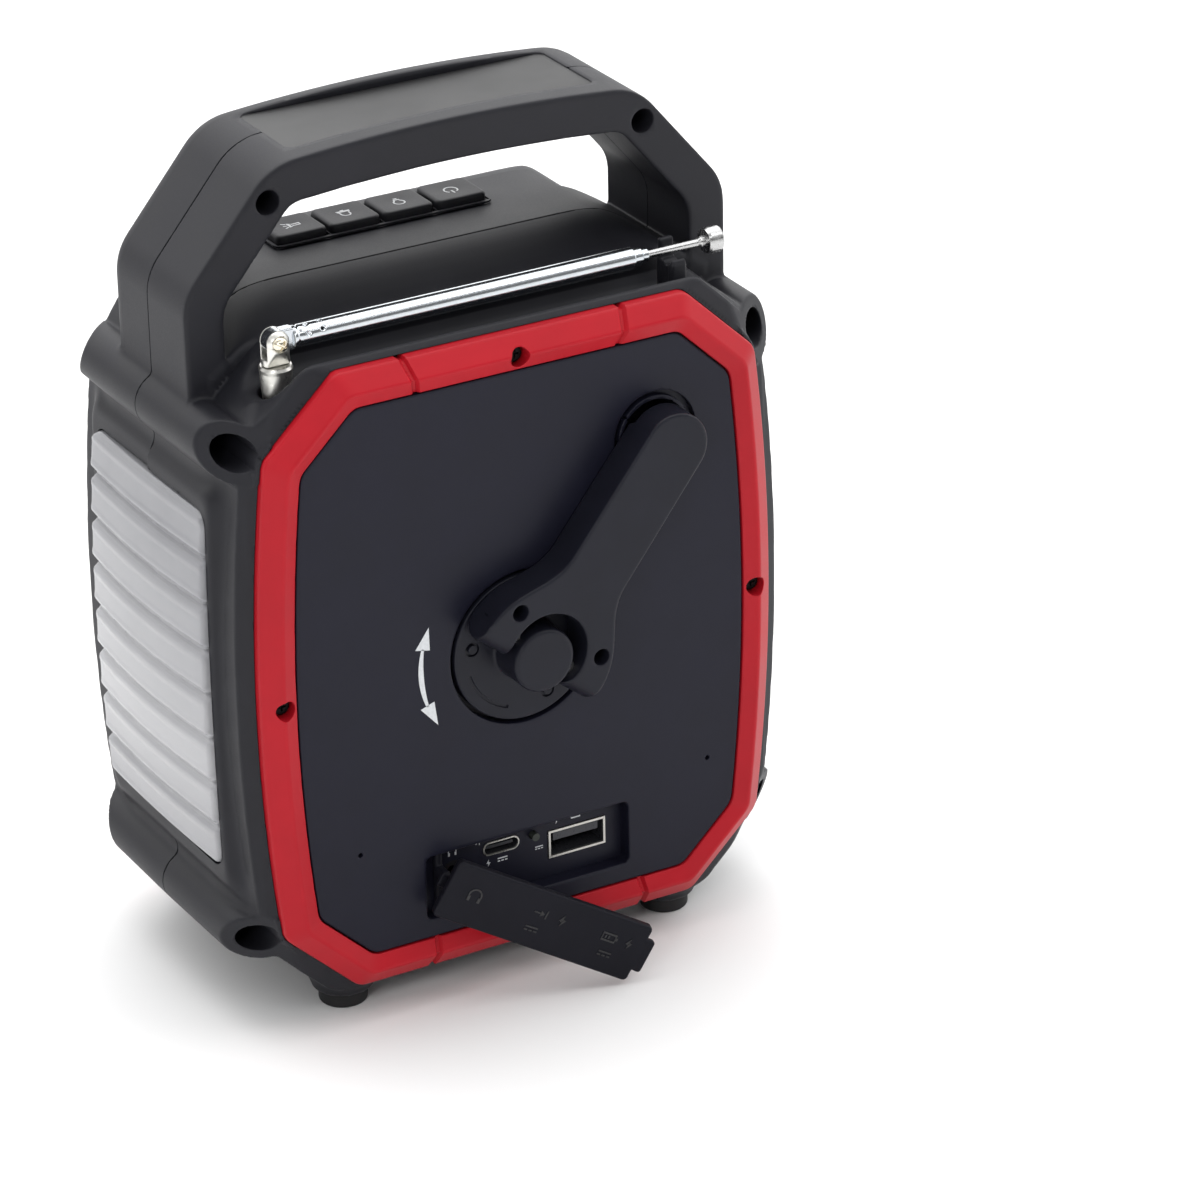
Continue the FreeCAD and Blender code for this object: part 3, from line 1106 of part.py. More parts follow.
knob("tuning_knob", d.tuning_z, d.tuning_radius, 13.4)
knob("volume_knob", d.volume_z, d.volume_radius, 12.4)
encs = []
for z in (d.tuning_z, d.volume_z):
    body_e = fuse(box(d.knob_x - 6.0, d.knob_x + 6.0, -71.4, -64.4, z - 6.0, z + 6.0), rod("y", d.knob_x, -74.6, z, 3.4, 3.3))
    encs.append(body_e)
node("main_board", fuse(box(14.0, 48.0, -64.4, -62.8, -24.0, 30.0), *encs))
node("torch_lens", turned([(0.0, 0.0), (d.torch_radius, 0.0), (d.torch_radius, 2.4), (d.torch_radius - 1.4, 3.2), (0.0, 3.2)], d.knob_x, -80.2, d.torch_z, "y"))
refl = cut(taper("y", d.knob_x, -76.9, d.torch_z, 11.5, 4.0, 13.0), taper("y", d.knob_x, -77.8, d.torch_z, 11.5, 3.4, 13.0), rod("y", d.knob_x, -70.0, d.torch_z, 2.6, 9.0))
node("torch_reflector", refl)
node("torch_led_board", fuse(rod("y", d.knob_x, -63.7, d.torch_z, 8.0, 1.5), rod("y", d.knob_x, -65.8, d.torch_z, 2.2, 2.2)))

# power, radio ----------------------------------------------------------------------------------------------------------------------------------

cells = []
for cy in (-31.5, -51.5):
    cells.append(rod("x", -d.cell_length / 2, cy, -58.0, d.cell_radius, d.cell_length))
group = doc.addObject("Part::Compound", fresh("group"))
group.Links = cells
node("battery_cells", group)
holder_b = cut(
    box(-36.5, 36.5, -63.0, -20.2, -68.9, -60.0),
    box(-32.8, 32.8, -64.0, -19.0, -67.5, -50.0),
)
node("battery_holder", fuse(holder_b, box(-36.5, -32.9, -63.0, -20.2, -60.1, -50.0), box(32.9, 36.5, -63.0, -20.2, -60.1, -50.0)))
node("ferrite_rod", fuse(rod("x", -40.0, -30.0, 56.0, 4.0, 62.0), rod("x", -24.0, -30.0, 56.0, 5.2, 20.0)))

# fasteners and feet ------------------------------------------------------------------------------------------------------------------------------

screws = []
for sx in (1, -1):
    for sz in (1, -1):
        screws.append(fuse(rod("y", sx * d.boss_x, -28.0, sz * d.boss_z, 3.2, 2.2), rod("y", sx * d.boss_x, -50.5, sz * d.boss_z, 1.5, 22.6)))
    screws.append(fuse(rod("y", sx * 44.4, -32.0, 102.4, 2.4, 1.8), rod("y", sx * 44.4, -45.5, 102.4, 1.3, 13.6)))
group = doc.addObject("Part::Compound", fresh("group"))
group.Links = screws
node("case_screws", group)
small_screws = []
for rear in (True, False):
    h = Half(rear)
    for bx, bz in bezel_screws:
        small_screws.append(fuse(h.rod(bx, 0.9, 2.3, bz, 2.1), h.rod(bx, -2.9, 1.0, bz, 1.1)))
group = doc.addObject("Part::Compound", fresh("group"))
group.Links = small_screws
node("bezel_screws", group)
feet = []
for rear in (True, False):
    h = Half(rear)
    for sx in (1, -1):
        feet.append(turned([(0.0, 0.0), (d.foot_radius - 0.8, 0.0), (d.foot_radius, 0.8), (d.foot_radius, 5.0), (0.0, 5.0)], sx * d.foot_x, h.y(d.foot_y), d.foot_low, "z"))
group = doc.addObject("Part::Compound", fresh("group"))
group.Links = feet
node("rubber_feet", group)

# check and write -----------------------------------------------------------------------------------------------------------------------------------

doc.recompute()
bad = [(o.Name, o.Label, list(o.State)) for o in doc.Objects if "Invalid" in o.State or "Error" in o.State]
if bad:
    raise RuntimeError("failed objects: %s" % bad[:12])
os.makedirs("parts", exist_ok=True)
total = None
for name, obj in NODES:
    shape = obj.Shape
    if shape.isNull() or not shape.isValid():
        raise RuntimeError("bad shape: %s" % name)
    if not shape.Solids:
        raise RuntimeError("no solid: %s" % name)
    bb = shape.BoundBox
    print("%-20s solids %2d volume %9.1f x %6.1f %6.1f y %6.1f %6.1f z %6.1f %6.1f" % (name, len(shape.Solids), shape.Volume, bb.XMin, bb.XMax, bb.YMin, bb.YMax, bb.ZMin, bb.ZMax))
    total = FreeCAD.BoundBox(bb) if total is None else total.united(bb)
    shape.exportStep("parts/%s.step" % name)
print("nodes", len(NODES), "box", total)
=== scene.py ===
import bpy
import math
import numpy as np
from mathutils import Matrix, Vector


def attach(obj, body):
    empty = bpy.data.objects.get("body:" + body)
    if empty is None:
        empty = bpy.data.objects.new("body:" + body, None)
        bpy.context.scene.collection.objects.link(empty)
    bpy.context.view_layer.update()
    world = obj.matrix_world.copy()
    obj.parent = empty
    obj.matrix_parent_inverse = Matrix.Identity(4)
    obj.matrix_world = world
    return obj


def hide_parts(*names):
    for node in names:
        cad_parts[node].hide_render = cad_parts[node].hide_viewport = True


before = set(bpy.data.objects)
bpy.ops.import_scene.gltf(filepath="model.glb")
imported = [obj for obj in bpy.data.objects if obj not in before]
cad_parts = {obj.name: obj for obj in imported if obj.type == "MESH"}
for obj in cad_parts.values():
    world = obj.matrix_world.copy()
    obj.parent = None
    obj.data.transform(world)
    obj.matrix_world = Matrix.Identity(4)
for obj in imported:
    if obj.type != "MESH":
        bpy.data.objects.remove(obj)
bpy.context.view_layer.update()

# Lengths below are millimetres about the crank hub (x across, y towards the crank side, z up). to_row puts them in the
# row's frame, in metres.
SHIFT = np.array([0.0, 34.77, 79.5])
MID = -77.0  # a depth y on the crank half is MID - y on the front half


def to_row(p):
    return (np.asarray(p, float) + SHIFT) * 0.001


# signed distance helpers -------------------------------------------------------------------------------------------------


def smin(a, b, k):
    h = np.maximum(k - np.abs(a - b), 0.0) / k
    return np.minimum(a, b) - h * h * (k * 0.25)


def smax(a, b, k):
    h = np.maximum(k - np.abs(a - b), 0.0) / k
    return np.maximum(a, b) + h * h * (k * 0.25)


def smax_all(k, *v):
    out = v[0]
    for w in v[1:]:
        out = smax(out, w, k)
    return out


def rbox2(a, b, ca, cb, ha, hb, r):
    qa, qb = np.abs(a - ca) - (ha - r), np.abs(b - cb) - (hb - r)
    return np.sqrt(np.maximum(qa, 0) ** 2 + np.maximum(qb, 0) ** 2) + np.minimum(np.maximum(qa, qb), 0) - r


def rbox(x, y, z, x0, x1, y0, y1, z0, z1, r):
    qx = np.abs(x - (x0 + x1) / 2) - ((x1 - x0) / 2 - r)
    qy = np.abs(y - (y0 + y1) / 2) - ((y1 - y0) / 2 - r)
    qz = np.abs(z - (z0 + z1) / 2) - ((z1 - z0) / 2 - r)
    out = np.sqrt(np.maximum(qx, 0) ** 2 + np.maximum(qy, 0) ** 2 + np.maximum(qz, 0) ** 2)
    return out + np.minimum(np.maximum(qx, np.maximum(qy, qz)), 0) - r


def disc(a, b, ca, cb, r):
    return np.sqrt((a - ca) ** 2 + (b - cb) ** 2) - r


def slab(v, lo, hi):
    return np.maximum(lo - v, v - hi)


def polygon(a, b, pts):
    """Signed distance to a closed polygon."""
    pts = np.asarray(pts, float)
    best = None
    sign = None
    for i in range(len(pts)):
        p, q = pts[i], pts[(i + 1) % len(pts)]
        ex, ey = q[0] - p[0], q[1] - p[1]
        wx, wy = a - p[0], b - p[1]
        t = np.clip((wx * ex + wy * ey) / (ex * ex + ey * ey), 0, 1)
        dx, dy = wx - ex * t, wy - ey * t
        d = dx * dx + dy * dy
        best = d if best is None else np.minimum(best, d)
        c1, c2, c3 = b >= p[1], b < q[1], ex * wy > ey * wx
        flip = (c1 & c2 & c3) | (~c1 & ~c2 & ~c3)
        sign = flip if sign is None else (sign ^ flip)
    return np.where(sign, -1.0, 1.0) * np.sqrt(best)


def segment(a, b, p, q, r):
    ex, ey = q[0] - p[0], q[1] - p[1]
    t = np.clip(((a - p[0]) * ex + (b - p[1]) * ey) / (ex * ex + ey * ey), 0, 1)
    return np.sqrt((a - p[0] - ex * t) ** 2 + (b - p[1] - ey * t) ** 2) - r


def smooth_line(pts, n=6):
    """A Catmull-Rom curve through points."""
    P = np.asarray(pts, float)
    P = np.vstack([2 * P[0] - P[1], P, 2 * P[-1] - P[-2]])
    out = []
    for i in range(1, len(P) - 2):
        for k in range(n):
            t = k / n
            a, b, c, e = P[i - 1], P[i], P[i + 1], P[i + 2]
            out.append(0.5 * (2 * b + (c - a) * t + (2 * a - 5 * b + 4 * c - e) * t * t + (3 * b - a - 3 * c + e) * t ** 3))
    out.append(P[-2])
    return [tuple(p) for p in out]


def axis(*spans):
    """Grid planes: spans of (from, to, step)."""
    out = []
    for a, b, step in spans:
        n = max(1, int(round((b - a) / step)))
        out.append(np.linspace(a, b, n + 1)[:-1])
    out.append([spans[-1][1]])
    return np.concatenate(out)


# surfaces from signed distances ------------------------------------------------------------------------------------------------


def gradient(field, P, eps=0.012):
    k = np.array([[1, -1, -1], [-1, -1, 1], [-1, 1, -1], [1, 1, 1]], float)
    g = np.zeros_like(P)
    for row in k:
        q = P + row * eps
        g += row * field(q[:, 0], q[:, 1], q[:, 2])[:, None]
    n = np.linalg.norm(g, axis=1)
    return g / np.maximum(n, 1e-12)[:, None], n / (4 * eps)


def contour(name, field, xs, ys, zs, axes=None, origin=(0, 0, 0)):
    """A closed mesh of field < 0, with its corners and edges kept. axes are the local x, y, z directions."""
    G = [np.asarray(v, float) for v in (xs, ys, zs)]
    X = G[0].astype(np.float32)[:, None, None]
    Y = G[1].astype(np.float32)[None, :, None]
    Z = G[2].astype(np.float32)[None, None, :]
    shape = (len(xs), len(ys), len(zs))
    F = np.array(np.broadcast_to(field(X, Y, Z), shape), dtype=np.float32)
    inside = F < 0
    if inside[0].any() or inside[-1].any() or inside[:, 0].any() or inside[:, -1].any() or inside[:, :, 0].any() or inside[:, :, -1].any():
        where = [(int(inside[0].sum()), int(inside[-1].sum())), (int(inside[:, 0].sum()), int(inside[:, -1].sum())), (int(inside[:, :, 0].sum()), int(inside[:, :, -1].sum()))]
        raise RuntimeError("%s reaches its grid's edge %s" % (name, where))
    pts, idxs, axs, flips = [], [], [], []
    for ax in range(3):
        lo = [slice(None)] * 3
        hi = [slice(None)] * 3
        lo[ax], hi[ax] = slice(0, -1), slice(1, None)
        s0, s1 = inside[tuple(lo)], inside[tuple(hi)]
        idx = np.argwhere(s0 != s1)
        if not len(idx):
            continue
        p0 = np.stack([G[k][idx[:, k]] for k in range(3)], 1)
        p1 = p0.copy()
        p1[:, ax] = G[ax][idx[:, ax] + 1]
        f0 = field(p0[:, 0], p0[:, 1], p0[:, 2])
        f1 = field(p1[:, 0], p1[:, 1], p1[:, 2])
        f0 = np.where(np.abs(f0) < 1e-9, 1e-9, f0)
        t0, t1 = np.zeros(len(idx)), np.ones(len(idx))
        ok = f0 * f1 < 0
        for _ in range(6):
            t = np.where(ok, t0 + (t1 - t0) * np.clip(f0 / np.where(np.abs(f0 - f1) < 1e-12, 1e-12, f0 - f1), 0.03, 0.97), 0.5)
            q = p0 + (p1 - p0) * t[:, None]
            f = field(q[:, 0], q[:, 1], q[:, 2])
            left = f * f0 > 0
            t0, f0n = np.where(left, t, t0), np.where(left, f, f0 * 0.6)
            t1, f1n = np.where(left, t1, t), np.where(left, f1 * 0.6, f)
            f0, f1 = f0n, f1n
        pts.append(p0 + (p1 - p0) * t[:, None])
        idxs.append(idx)
        axs.append(np.full(len(idx), ax))
        flips.append(~inside[tuple(lo)][tuple(idx.T)])
    P, I, AX, FL = np.vstack(pts), np.vstack(idxs), np.concatenate(axs), np.concatenate(flips)
    N, _ = gradient(field, P)
    dims = [n - 1 for n in shape]
    offs = np.zeros((len(I), 4, 3), int)
    for ax in range(3):
        m = AX == ax
        b, c = (ax + 1) % 3, (ax + 2) % 3
        offs[m, 1, b] = -1
        offs[m, 2, b] = -1
        offs[m, 2, c] = -1
        offs[m, 3, c] = -1
    cells = I[:, None, :] + offs
    lin = (cells[..., 0] * dims[1] + cells[..., 1]) * dims[2] + cells[..., 2]
    uniq, inv = np.unique(lin.ravel(), return_inverse=True)
    inv = inv.ravel()
    n = len(uniq)

    def gather(v):
        return np.bincount(inv, weights=np.repeat(v, 4), minlength=n)

    cnt = gather(np.ones(len(P)))
    mean = np.stack([gather(P[:, k]) for k in range(3)], 1) / cnt[:, None]
    nsum = np.stack([gather(N[:, k]) for k in range(3)], 1)
    A = np.zeros((n, 3, 3))
    for i in range(3):
        for j in range(i, 3):
            A[:, i, j] = A[:, j, i] = gather(N[:, i] * N[:, j])
    dot = np.sum(N * P, 1)
    b = np.stack([gather(N[:, k] * dot) for k in range(3)], 1) - np.einsum("nij,nj->ni", A, mean)
    A += (0.03 * cnt)[:, None, None] * np.eye(3)
    V = mean + np.linalg.solve(A, b[..., None])[..., 0]
    ci = np.stack(np.unravel_index(uniq, dims), 1)
    lo = np.stack([G[k][ci[:, k]] for k in range(3)], 1)
    hi = np.stack([G[k][ci[:, k] + 1] for k in range(3)], 1)
    V = np.clip(V, lo, hi)
    spread = np.linalg.norm(nsum, axis=1) / cnt
    smooth = spread > 0.93
    # a corner found off the surface falls back to the middle of the crossings, moved onto it
    stray = np.nonzero(~smooth & (np.abs(field(V[:, 0], V[:, 1], V[:, 2])) > 0.09))[0]
    if len(stray):
        W = mean[stray].copy()
        for _ in range(3):
            g, size = gradient(field, W)
            f = field(W[:, 0], W[:, 1], W[:, 2])
            W -= g * np.clip(f / np.maximum(size, 0.3), -0.25, 0.25)[:, None]
        V[stray] = np.clip(W, lo[stray], hi[stray])
    for _ in range(2):
        g, size = gradient(field, V)
        f = field(V[:, 0], V[:, 1], V[:, 2])
        step = np.clip(f / np.maximum(size, 0.3), -0.25, 0.25)
        V = np.where(smooth[:, None], V - g * step[:, None], V)
    faces = inv.reshape(-1, 4).copy()
    faces[FL] = faces[FL][:, ::-1]
    g, _ = gradient(field, V)
    loop_v = faces.ravel()
    LN = g[loop_v]
    centre = V[faces].mean(1)
    sharp = ~smooth[loop_v]
    way = np.repeat(centre, 4, axis=0)[sharp] - V[loop_v[sharp]]
    way /= np.maximum(np.linalg.norm(way, axis=1), 1e-9)[:, None]
    Q = V[loop_v[sharp]] + way * 0.13
    LN[sharp] = gradient(field, Q)[0]
    # a shading normal never leans far from its face
    flat = np.cross(V[faces[:, 2]] - V[faces[:, 0]], V[faces[:, 3]] - V[faces[:, 1]])
    flat /= np.maximum(np.linalg.norm(flat, axis=1), 1e-12)[:, None]
    flat = np.repeat(flat, 4, axis=0)
    agree = np.sum(flat * LN, axis=1)
    if np.median(agree) < 0:
        flat, agree = -flat, -agree
    off = agree < 0.35
    LN[off] = flat[off]
    if axes is not None:
        M = np.array(axes, float)  # rows are the local directions
        V = np.asarray(origin, float) + V @ M
        LN = LN @ M
        if np.linalg.det(M) < 0:
            faces = faces[:, ::-1].copy()
            LN = LN.reshape(-1, 4, 3)[:, ::-1].reshape(-1, 3).copy()
    else:
        V = V + np.asarray(origin, float)
    print("%-22s %6d points %6d quads" % (name, len(V), len(faces)))
    return mesh_of(name, V, faces, LN)


def mesh_of(name, V, faces, normals=None, smooth=True):
    V = to_row(V).astype(np.float32)
    me = bpy.data.meshes.new(name)
    faces = np.asarray(faces)
    k = faces.shape[1]
    me.vertices.add(len(V))
    me.vertices.foreach_set("co", V.ravel())
    me.loops.add(len(faces) * k)
    me.loops.foreach_set("vertex_index", faces.ravel().astype(np.int32))
    me.polygons.add(len(faces))
    me.polygons.foreach_set("loop_start", np.arange(0, len(faces) * k, k, dtype=np.int32))
    me.polygons.foreach_set("loop_total", np.full(len(faces), k, dtype=np.int32))
    me.update(calc_edges=True)
    me.validate()
    me.polygons.foreach_set("use_smooth", np.full(len(me.polygons), smooth))
    if normals is not None and len(me.loops) == len(normals):
        me.normals_split_custom_set(np.asarray(normals, float).tolist())
    me.update()
    ob = bpy.data.objects.new(name, me)
    bpy.context.scene.collection.objects.link(ob)
    return ob


def finish_piece(ob, body, material, replaces=()):
    ob.data.materials.clear()
    ob.data.materials.append(material)
    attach(ob, body)
    replaces = [r for r in ([replaces] if isinstance(replaces, str) else list(replaces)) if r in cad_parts]
    if replaces:
        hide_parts(*([replaces] if isinstance(replaces, str) else list(replaces)))
    return ob


# node materials ---------------------------------------------------------------------------------------------------------------------


class Nodes:
    def __init__(self, name):
        self.mat = bpy.data.materials.new(name)
        self.mat.use_nodes = True
        self.nt = self.mat.node_tree
        self.nt.nodes.clear()
        self.out = self.nt.nodes.new("ShaderNodeOutputMaterial")
        self.bsdf = self.nt.nodes.new("ShaderNodeBsdfPrincipled")
        self.link(self.bsdf.outputs[0], self.out.inputs[0])
        self.co = self.nt.nodes.new("ShaderNodeTexCoord").outputs["Object"]

    def link(self, a, b):
        self.nt.links.new(a, b)

    def new(self, kind, **props):
        n = self.nt.nodes.new(kind)
        for k, v in props.items():
            setattr(n, k, v)
        return n

    def noise(self, scale, detail=3.0, rough=0.5, at=None):
        n = self.new("ShaderNodeTexNoise")
        n.inputs["Scale"].default_value = scale
        n.inputs["Detail"].default_value = detail
        n.inputs["Roughness"].default_value = rough
        self.link(at or self.co, n.inputs["Vector"])
        return n.outputs["Fac"]

    def math(self, op, a, b=None, clamp=False):
        n = self.new("ShaderNodeMath", operation=op, use_clamp=clamp)
        for i, v in enumerate((a, b)):
            if v is None:
                continue
            if isinstance(v, (int, float)):
                n.inputs[i].default_value = v
            else:
                self.link(v, n.inputs[i])
        return n.outputs[0]

    def ramp(self, fac, lo, hi, a, b):
        """A number that goes from a to b as fac goes from lo to hi."""
        n = self.new("ShaderNodeMapRange", clamp=True)
        self.link(fac, n.inputs[0])
        n.inputs[1].default_value, n.inputs[2].default_value = lo, hi
        n.inputs[3].default_value, n.inputs[4].default_value = a, b
        return n.outputs[0]

    def mix(self, fac, a, b):
        n = self.new("ShaderNodeMix", data_type="RGBA")
        self.link(fac, n.inputs["Factor"]) if not isinstance(fac, (int, float)) else setattr(n.inputs["Factor"], "default_value", fac)
        for socket, v in ((n.inputs["A"], a), (n.inputs["B"], b)):
            pass
        ia = [s for s in n.inputs if s.name == "A" and s.type == "RGBA"][0]
        ib = [s for s in n.inputs if s.name == "B" and s.type == "RGBA"][0]
        for s, v in ((ia, a), (ib, b)):
            if isinstance(v, (tuple, list)):
                s.default_value = (*v[:3], 1.0)
            else:
                self.link(v, s)
        return [s for s in n.outputs if s.type == "RGBA"][0]

    def split(self, at=None):
        n = self.new("ShaderNodeSeparateXYZ")
        self.link(at or self.co, n.inputs[0])
        return n.outputs[0], n.outputs[1], n.outputs[2]

    def stretched(self, sx, sy, sz):
        n = self.new("ShaderNodeMapping")
        self.link(self.co, n.inputs["Vector"])
        n.inputs["Scale"].default_value = (sx, sy, sz)
        return n.outputs[0]

    def set(self, **v):
        names = {"color": "Base Color", "rough": "Roughness", "metal": "Metallic", "ior": "IOR", "spec": "Specular IOR Level", "coat": "Coat Weight", "coat_rough": "Coat Roughness",
                 "trans": "Transmission Weight", "sheen": "Sheen Weight", "alpha": "Alpha", "emit": "Emission Color", "glow": "Emission Strength", "sub": "Subsurface Weight", "aniso": "Anisotropic"}
        for k, val in v.items():
            s = self.bsdf.inputs[names[k]]
            if isinstance(val, (tuple, list)):
                s.default_value = (*val[:3], 1.0)
            elif isinstance(val, (int, float)):
                s.default_value = val
            else:
                self.link(val, s)

    def bump(self, height, strength, distance, below=None):
        n = self.new("ShaderNodeBump")
        n.inputs["Strength"].default_value = strength
        n.inputs["Distance"].default_value = distance
        self.link(height, n.inputs["Height"])
        if below is not None:
            self.link(below, n.inputs["Normal"])
        self.link(n.outputs[0], self.bsdf.inputs["Normal"])
        return n.outputs[0]

    def soft_edges(self, radius):
        n = self.new("ShaderNodeBevel", samples=4)
        n.inputs["Radius"].default_value = radius
        return n.outputs[0]


def moulded(name, color, rough, grain=2600.0, depth=0.000012, vary=0.12, mottle=90.0, strength=0.35, ior=1.47, edges=None, spec=0.28):
    """Moulded plastic: a fine spark-eroded grain, slow colour drift and a slightly uneven gloss."""
    m = Nodes(name)
    slow = m.noise(mottle, 4.0, 0.55)
    fine = m.noise(grain, 2.0, 0.6)
    dark = tuple(c * (1 - vary) for c in color)
    light = tuple(min(1.0, c * (1 + vary)) for c in color)
    m.set(color=m.mix(m.ramp(slow, 0.3, 0.7, 0.0, 1.0), dark, light))
    base = m.ramp(slow, 0.25, 0.75, rough - 0.03, rough + 0.03)
    m.set(rough=m.math("ADD", base, m.ramp(fine, 0.3, 0.7, -0.03, 0.03)), ior=ior, spec=spec)
    m.bump(fine, strength, depth, m.soft_edges(edges) if edges else None)
    return m


def metal(name, color, rough, brushed=None, depth=0.000004, edges=None):
    m = Nodes(name)
    slow = m.noise(220.0, 3.0)
    tone = m.mix(m.ramp(slow, 0.3, 0.7, 0.0, 1.0), tuple(c * 0.93 for c in color), color)
    m.set(color=tone, metal=1.0)
    if brushed:
        lines = m.noise(900.0, 3.0, 0.6, m.stretched(*brushed))
        m.set(rough=m.ramp(lines, 0.3, 0.7, rough * 0.75, rough * 1.3))
        m.bump(lines, 0.3, depth, m.soft_edges(edges) if edges else None)
    else:
        fine = m.noise(1500.0, 2.0)
        m.set(rough=m.ramp(fine, 0.3, 0.7, rough * 0.8, rough * 1.2))
        m.bump(fine, 0.15, depth, m.soft_edges(edges) if edges else None)
    return m


MAT = {}
MAT["shell"] = moulded("shell_plastic", (0.0115, 0.0116, 0.0155), 0.50, grain=3000.0, depth=0.000010, spec=0.27).mat
MAT["bezel"] = moulded("bezel_plastic", (0.385, 0.0070, 0.0150), 0.40, grain=3400.0, depth=0.000006, vary=0.05, spec=0.2).mat
MAT["panel"] = moulded("panel_plastic", (0.0078, 0.0080, 0.0160), 0.40, grain=3600.0, depth=0.000006, vary=0.08, spec=0.2).mat
MAT["crank"] = moulded("crank_plastic", (0.0088, 0.0092, 0.0150), 0.36, grain=3600.0, depth=0.000006, spec=0.20).mat
MAT["grip"] = moulded("grip_plastic", (0.010, 0.010, 0.012), 0.34, grain=3000.0, edges=0.0004).mat
MAT["key"] = moulded("key_plastic", (0.0125, 0.0125, 0.0155), 0.5, grain=2600.0, depth=0.000012, spec=0.26).mat
MAT["knob"] = moulded("knob_plastic", (0.012, 0.012, 0.014), 0.38, edges=0.0004).mat
MAT["grille"] = moulded("grille_plastic", (0.012, 0.012, 0.014), 0.45, edges=0.0003).mat
MAT["holder"] = moulded("holder_plastic", (0.012, 0.012, 0.013), 0.5).mat
MAT["jack"] = moulded("jack_plastic", (0.008, 0.008, 0.009), 0.35, edges=0.0002).mat
MAT["rubber"] = moulded("cover_rubber", (0.0075, 0.0075, 0.0115), 0.50, grain=2200.0, depth=0.000015, vary=0.14, spec=0.13).mat
MAT["foot"] = moulded("foot_rubber", (0.014, 0.014, 0.015), 0.62, grain=1800.0, depth=0.00002, vary=0.2).mat
MAT["chrome"] = metal("antenna_chrome", (0.58, 0.61, 0.64), 0.17, depth=0.000001).mat
MAT["tip_chrome"] = metal("antenna_tip_chrome", (0.50, 0.50, 0.50), 0.26, depth=0.000001).mat
MAT["satin_chrome"] = metal("knuckle_nickel", (0.72, 0.71, 0.67), 0.34, depth=0.000003).mat
MAT["screw_brass"] = metal("screw_nickel_brass", (0.80, 0.74, 0.60), 0.22, depth=0.000004, edges=0.0001).mat
MAT["steel"] = metal("zinc_steel", (0.60, 0.60, 0.61), 0.30, (1, 6, 1), edges=0.0001).mat
# dark steel: black screws, and on the bezel screws also painted shade for the deep holes they sit in
MAT["black_steel_and_hole_shade"] = metal("black_oxide_steel_and_hole_shade", (0.018, 0.017, 0.017), 0.5, edges=0.0001).mat
MAT["plate"] = metal("stamped_steel", (0.56, 0.56, 0.57), 0.38, (1, 1, 8), edges=0.0001).mat
MAT["motor"] = metal("motor_can", (0.50, 0.50, 0.51), 0.34, (1, 8, 1)).mat
def port_material():
    """A plated shell with painted shade: its colour and metal are darkened inside and left bright at its rim."""
    m = Nodes("port_shell")
    x, y, z = m.split()
    lines = m.noise(900.0, 3.0, 0.6, m.stretched(8, 1, 1))
    # painted shade: darker and less metallic deeper in the port, away from the rim
    rim = m.ramp(y, 0.03355, 0.03385, 0.0, 1.0)
    tone = m.mix(rim, (0.035, 0.036, 0.042), (0.50, 0.49, 0.46))
    m.set(color=tone, metal=m.ramp(rim, 0.0, 1.0, 0.35, 1.0), rough=m.ramp(lines, 0.3, 0.7, 0.24, 0.38))
    m.bump(lines, 0.3, 0.000004)
    return m.mat


MAT["port"] = port_material()
MAT["brass"] = metal("brass", (0.72, 0.52, 0.22), 0.26, (1, 8, 1)).mat
MAT["nylon"] = moulded("gear_nylon", (0.62, 0.60, 0.53), 0.42, edges=0.0001).mat
MAT["board"] = moulded("board_green", (0.02, 0.13, 0.05), 0.3, grain=900.0, mottle=260.0, vary=0.25).mat
MAT["white_board"] = moulded("board_white", (0.72, 0.72, 0.70), 0.32, grain=900.0).mat
MAT["reflector"] = metal("reflector", (0.88, 0.88, 0.89), 0.07).mat
MAT["cone"] = moulded("cone_paper", (0.03, 0.028, 0.026), 0.8, grain=700.0, depth=0.00004, vary=0.3).mat
MAT["cell_wrap"] = moulded("cell_wrap", (0.03, 0.11, 0.32), 0.3).mat
MAT["ferrite"] = moulded("ferrite", (0.05, 0.05, 0.054), 0.55, vary=0.25).mat
MAT["pcb_dark"] = moulded("display_module", (0.03, 0.035, 0.03), 0.35).mat


def lens_material():
    m = Nodes("lens_milky")
    x, y, z = m.split()
    slow = m.noise(60.0, 3.0)
    # painted highlight: the colour is lightened in a band low in the lens, standing in for light showing through it
    glow = m.math("MULTIPLY", m.ramp(z, 0.030, 0.062, 0.0, 1.0), m.ramp(z, 0.062, 0.110, 1.0, 0.0))
    tone = m.mix(m.ramp(slow, 0.3, 0.7, 0.0, 1.0), (0.225, 0.227, 0.242), (0.252, 0.254, 0.268))
    tone = m.mix(glow, tone, (0.39, 0.39, 0.405))
    m.set(color=tone, ior=1.49, spec=0.45, sub=0.12)
    m.bsdf.inputs["Subsurface Radius"].default_value = (0.004, 0.004, 0.004)
    fine = m.noise(2400.0, 2.0)
    m.set(rough=m.ramp(fine, 0.3, 0.7, 0.16, 0.24))
    m.bump(fine, 0.12, 0.000008)
    return m.mat


MAT["lens"] = lens_material()


def window_material(name, tint, alpha, rough):
    m = Nodes(name)
    fine = m.noise(1800.0, 2.0)
    slow = m.noise(70.0, 3.0)
    m.set(color=m.mix(m.ramp(slow, 0.3, 0.7, 0, 1), tint, tuple(c * 1.1 for c in tint)), rough=m.ramp(fine, 0.3, 0.7, rough * 0.8, rough * 1.25), ior=1.5, alpha=alpha)
    m.bump(fine, 0.05, 0.000004)
    return m.mat


MAT["clear"] = window_material("window_clear", (0.04, 0.045, 0.05), 0.25, 0.06)
MAT["torch_clear"] = window_material("torch_clear", (0.5, 0.52, 0.55), 0.18, 0.05)


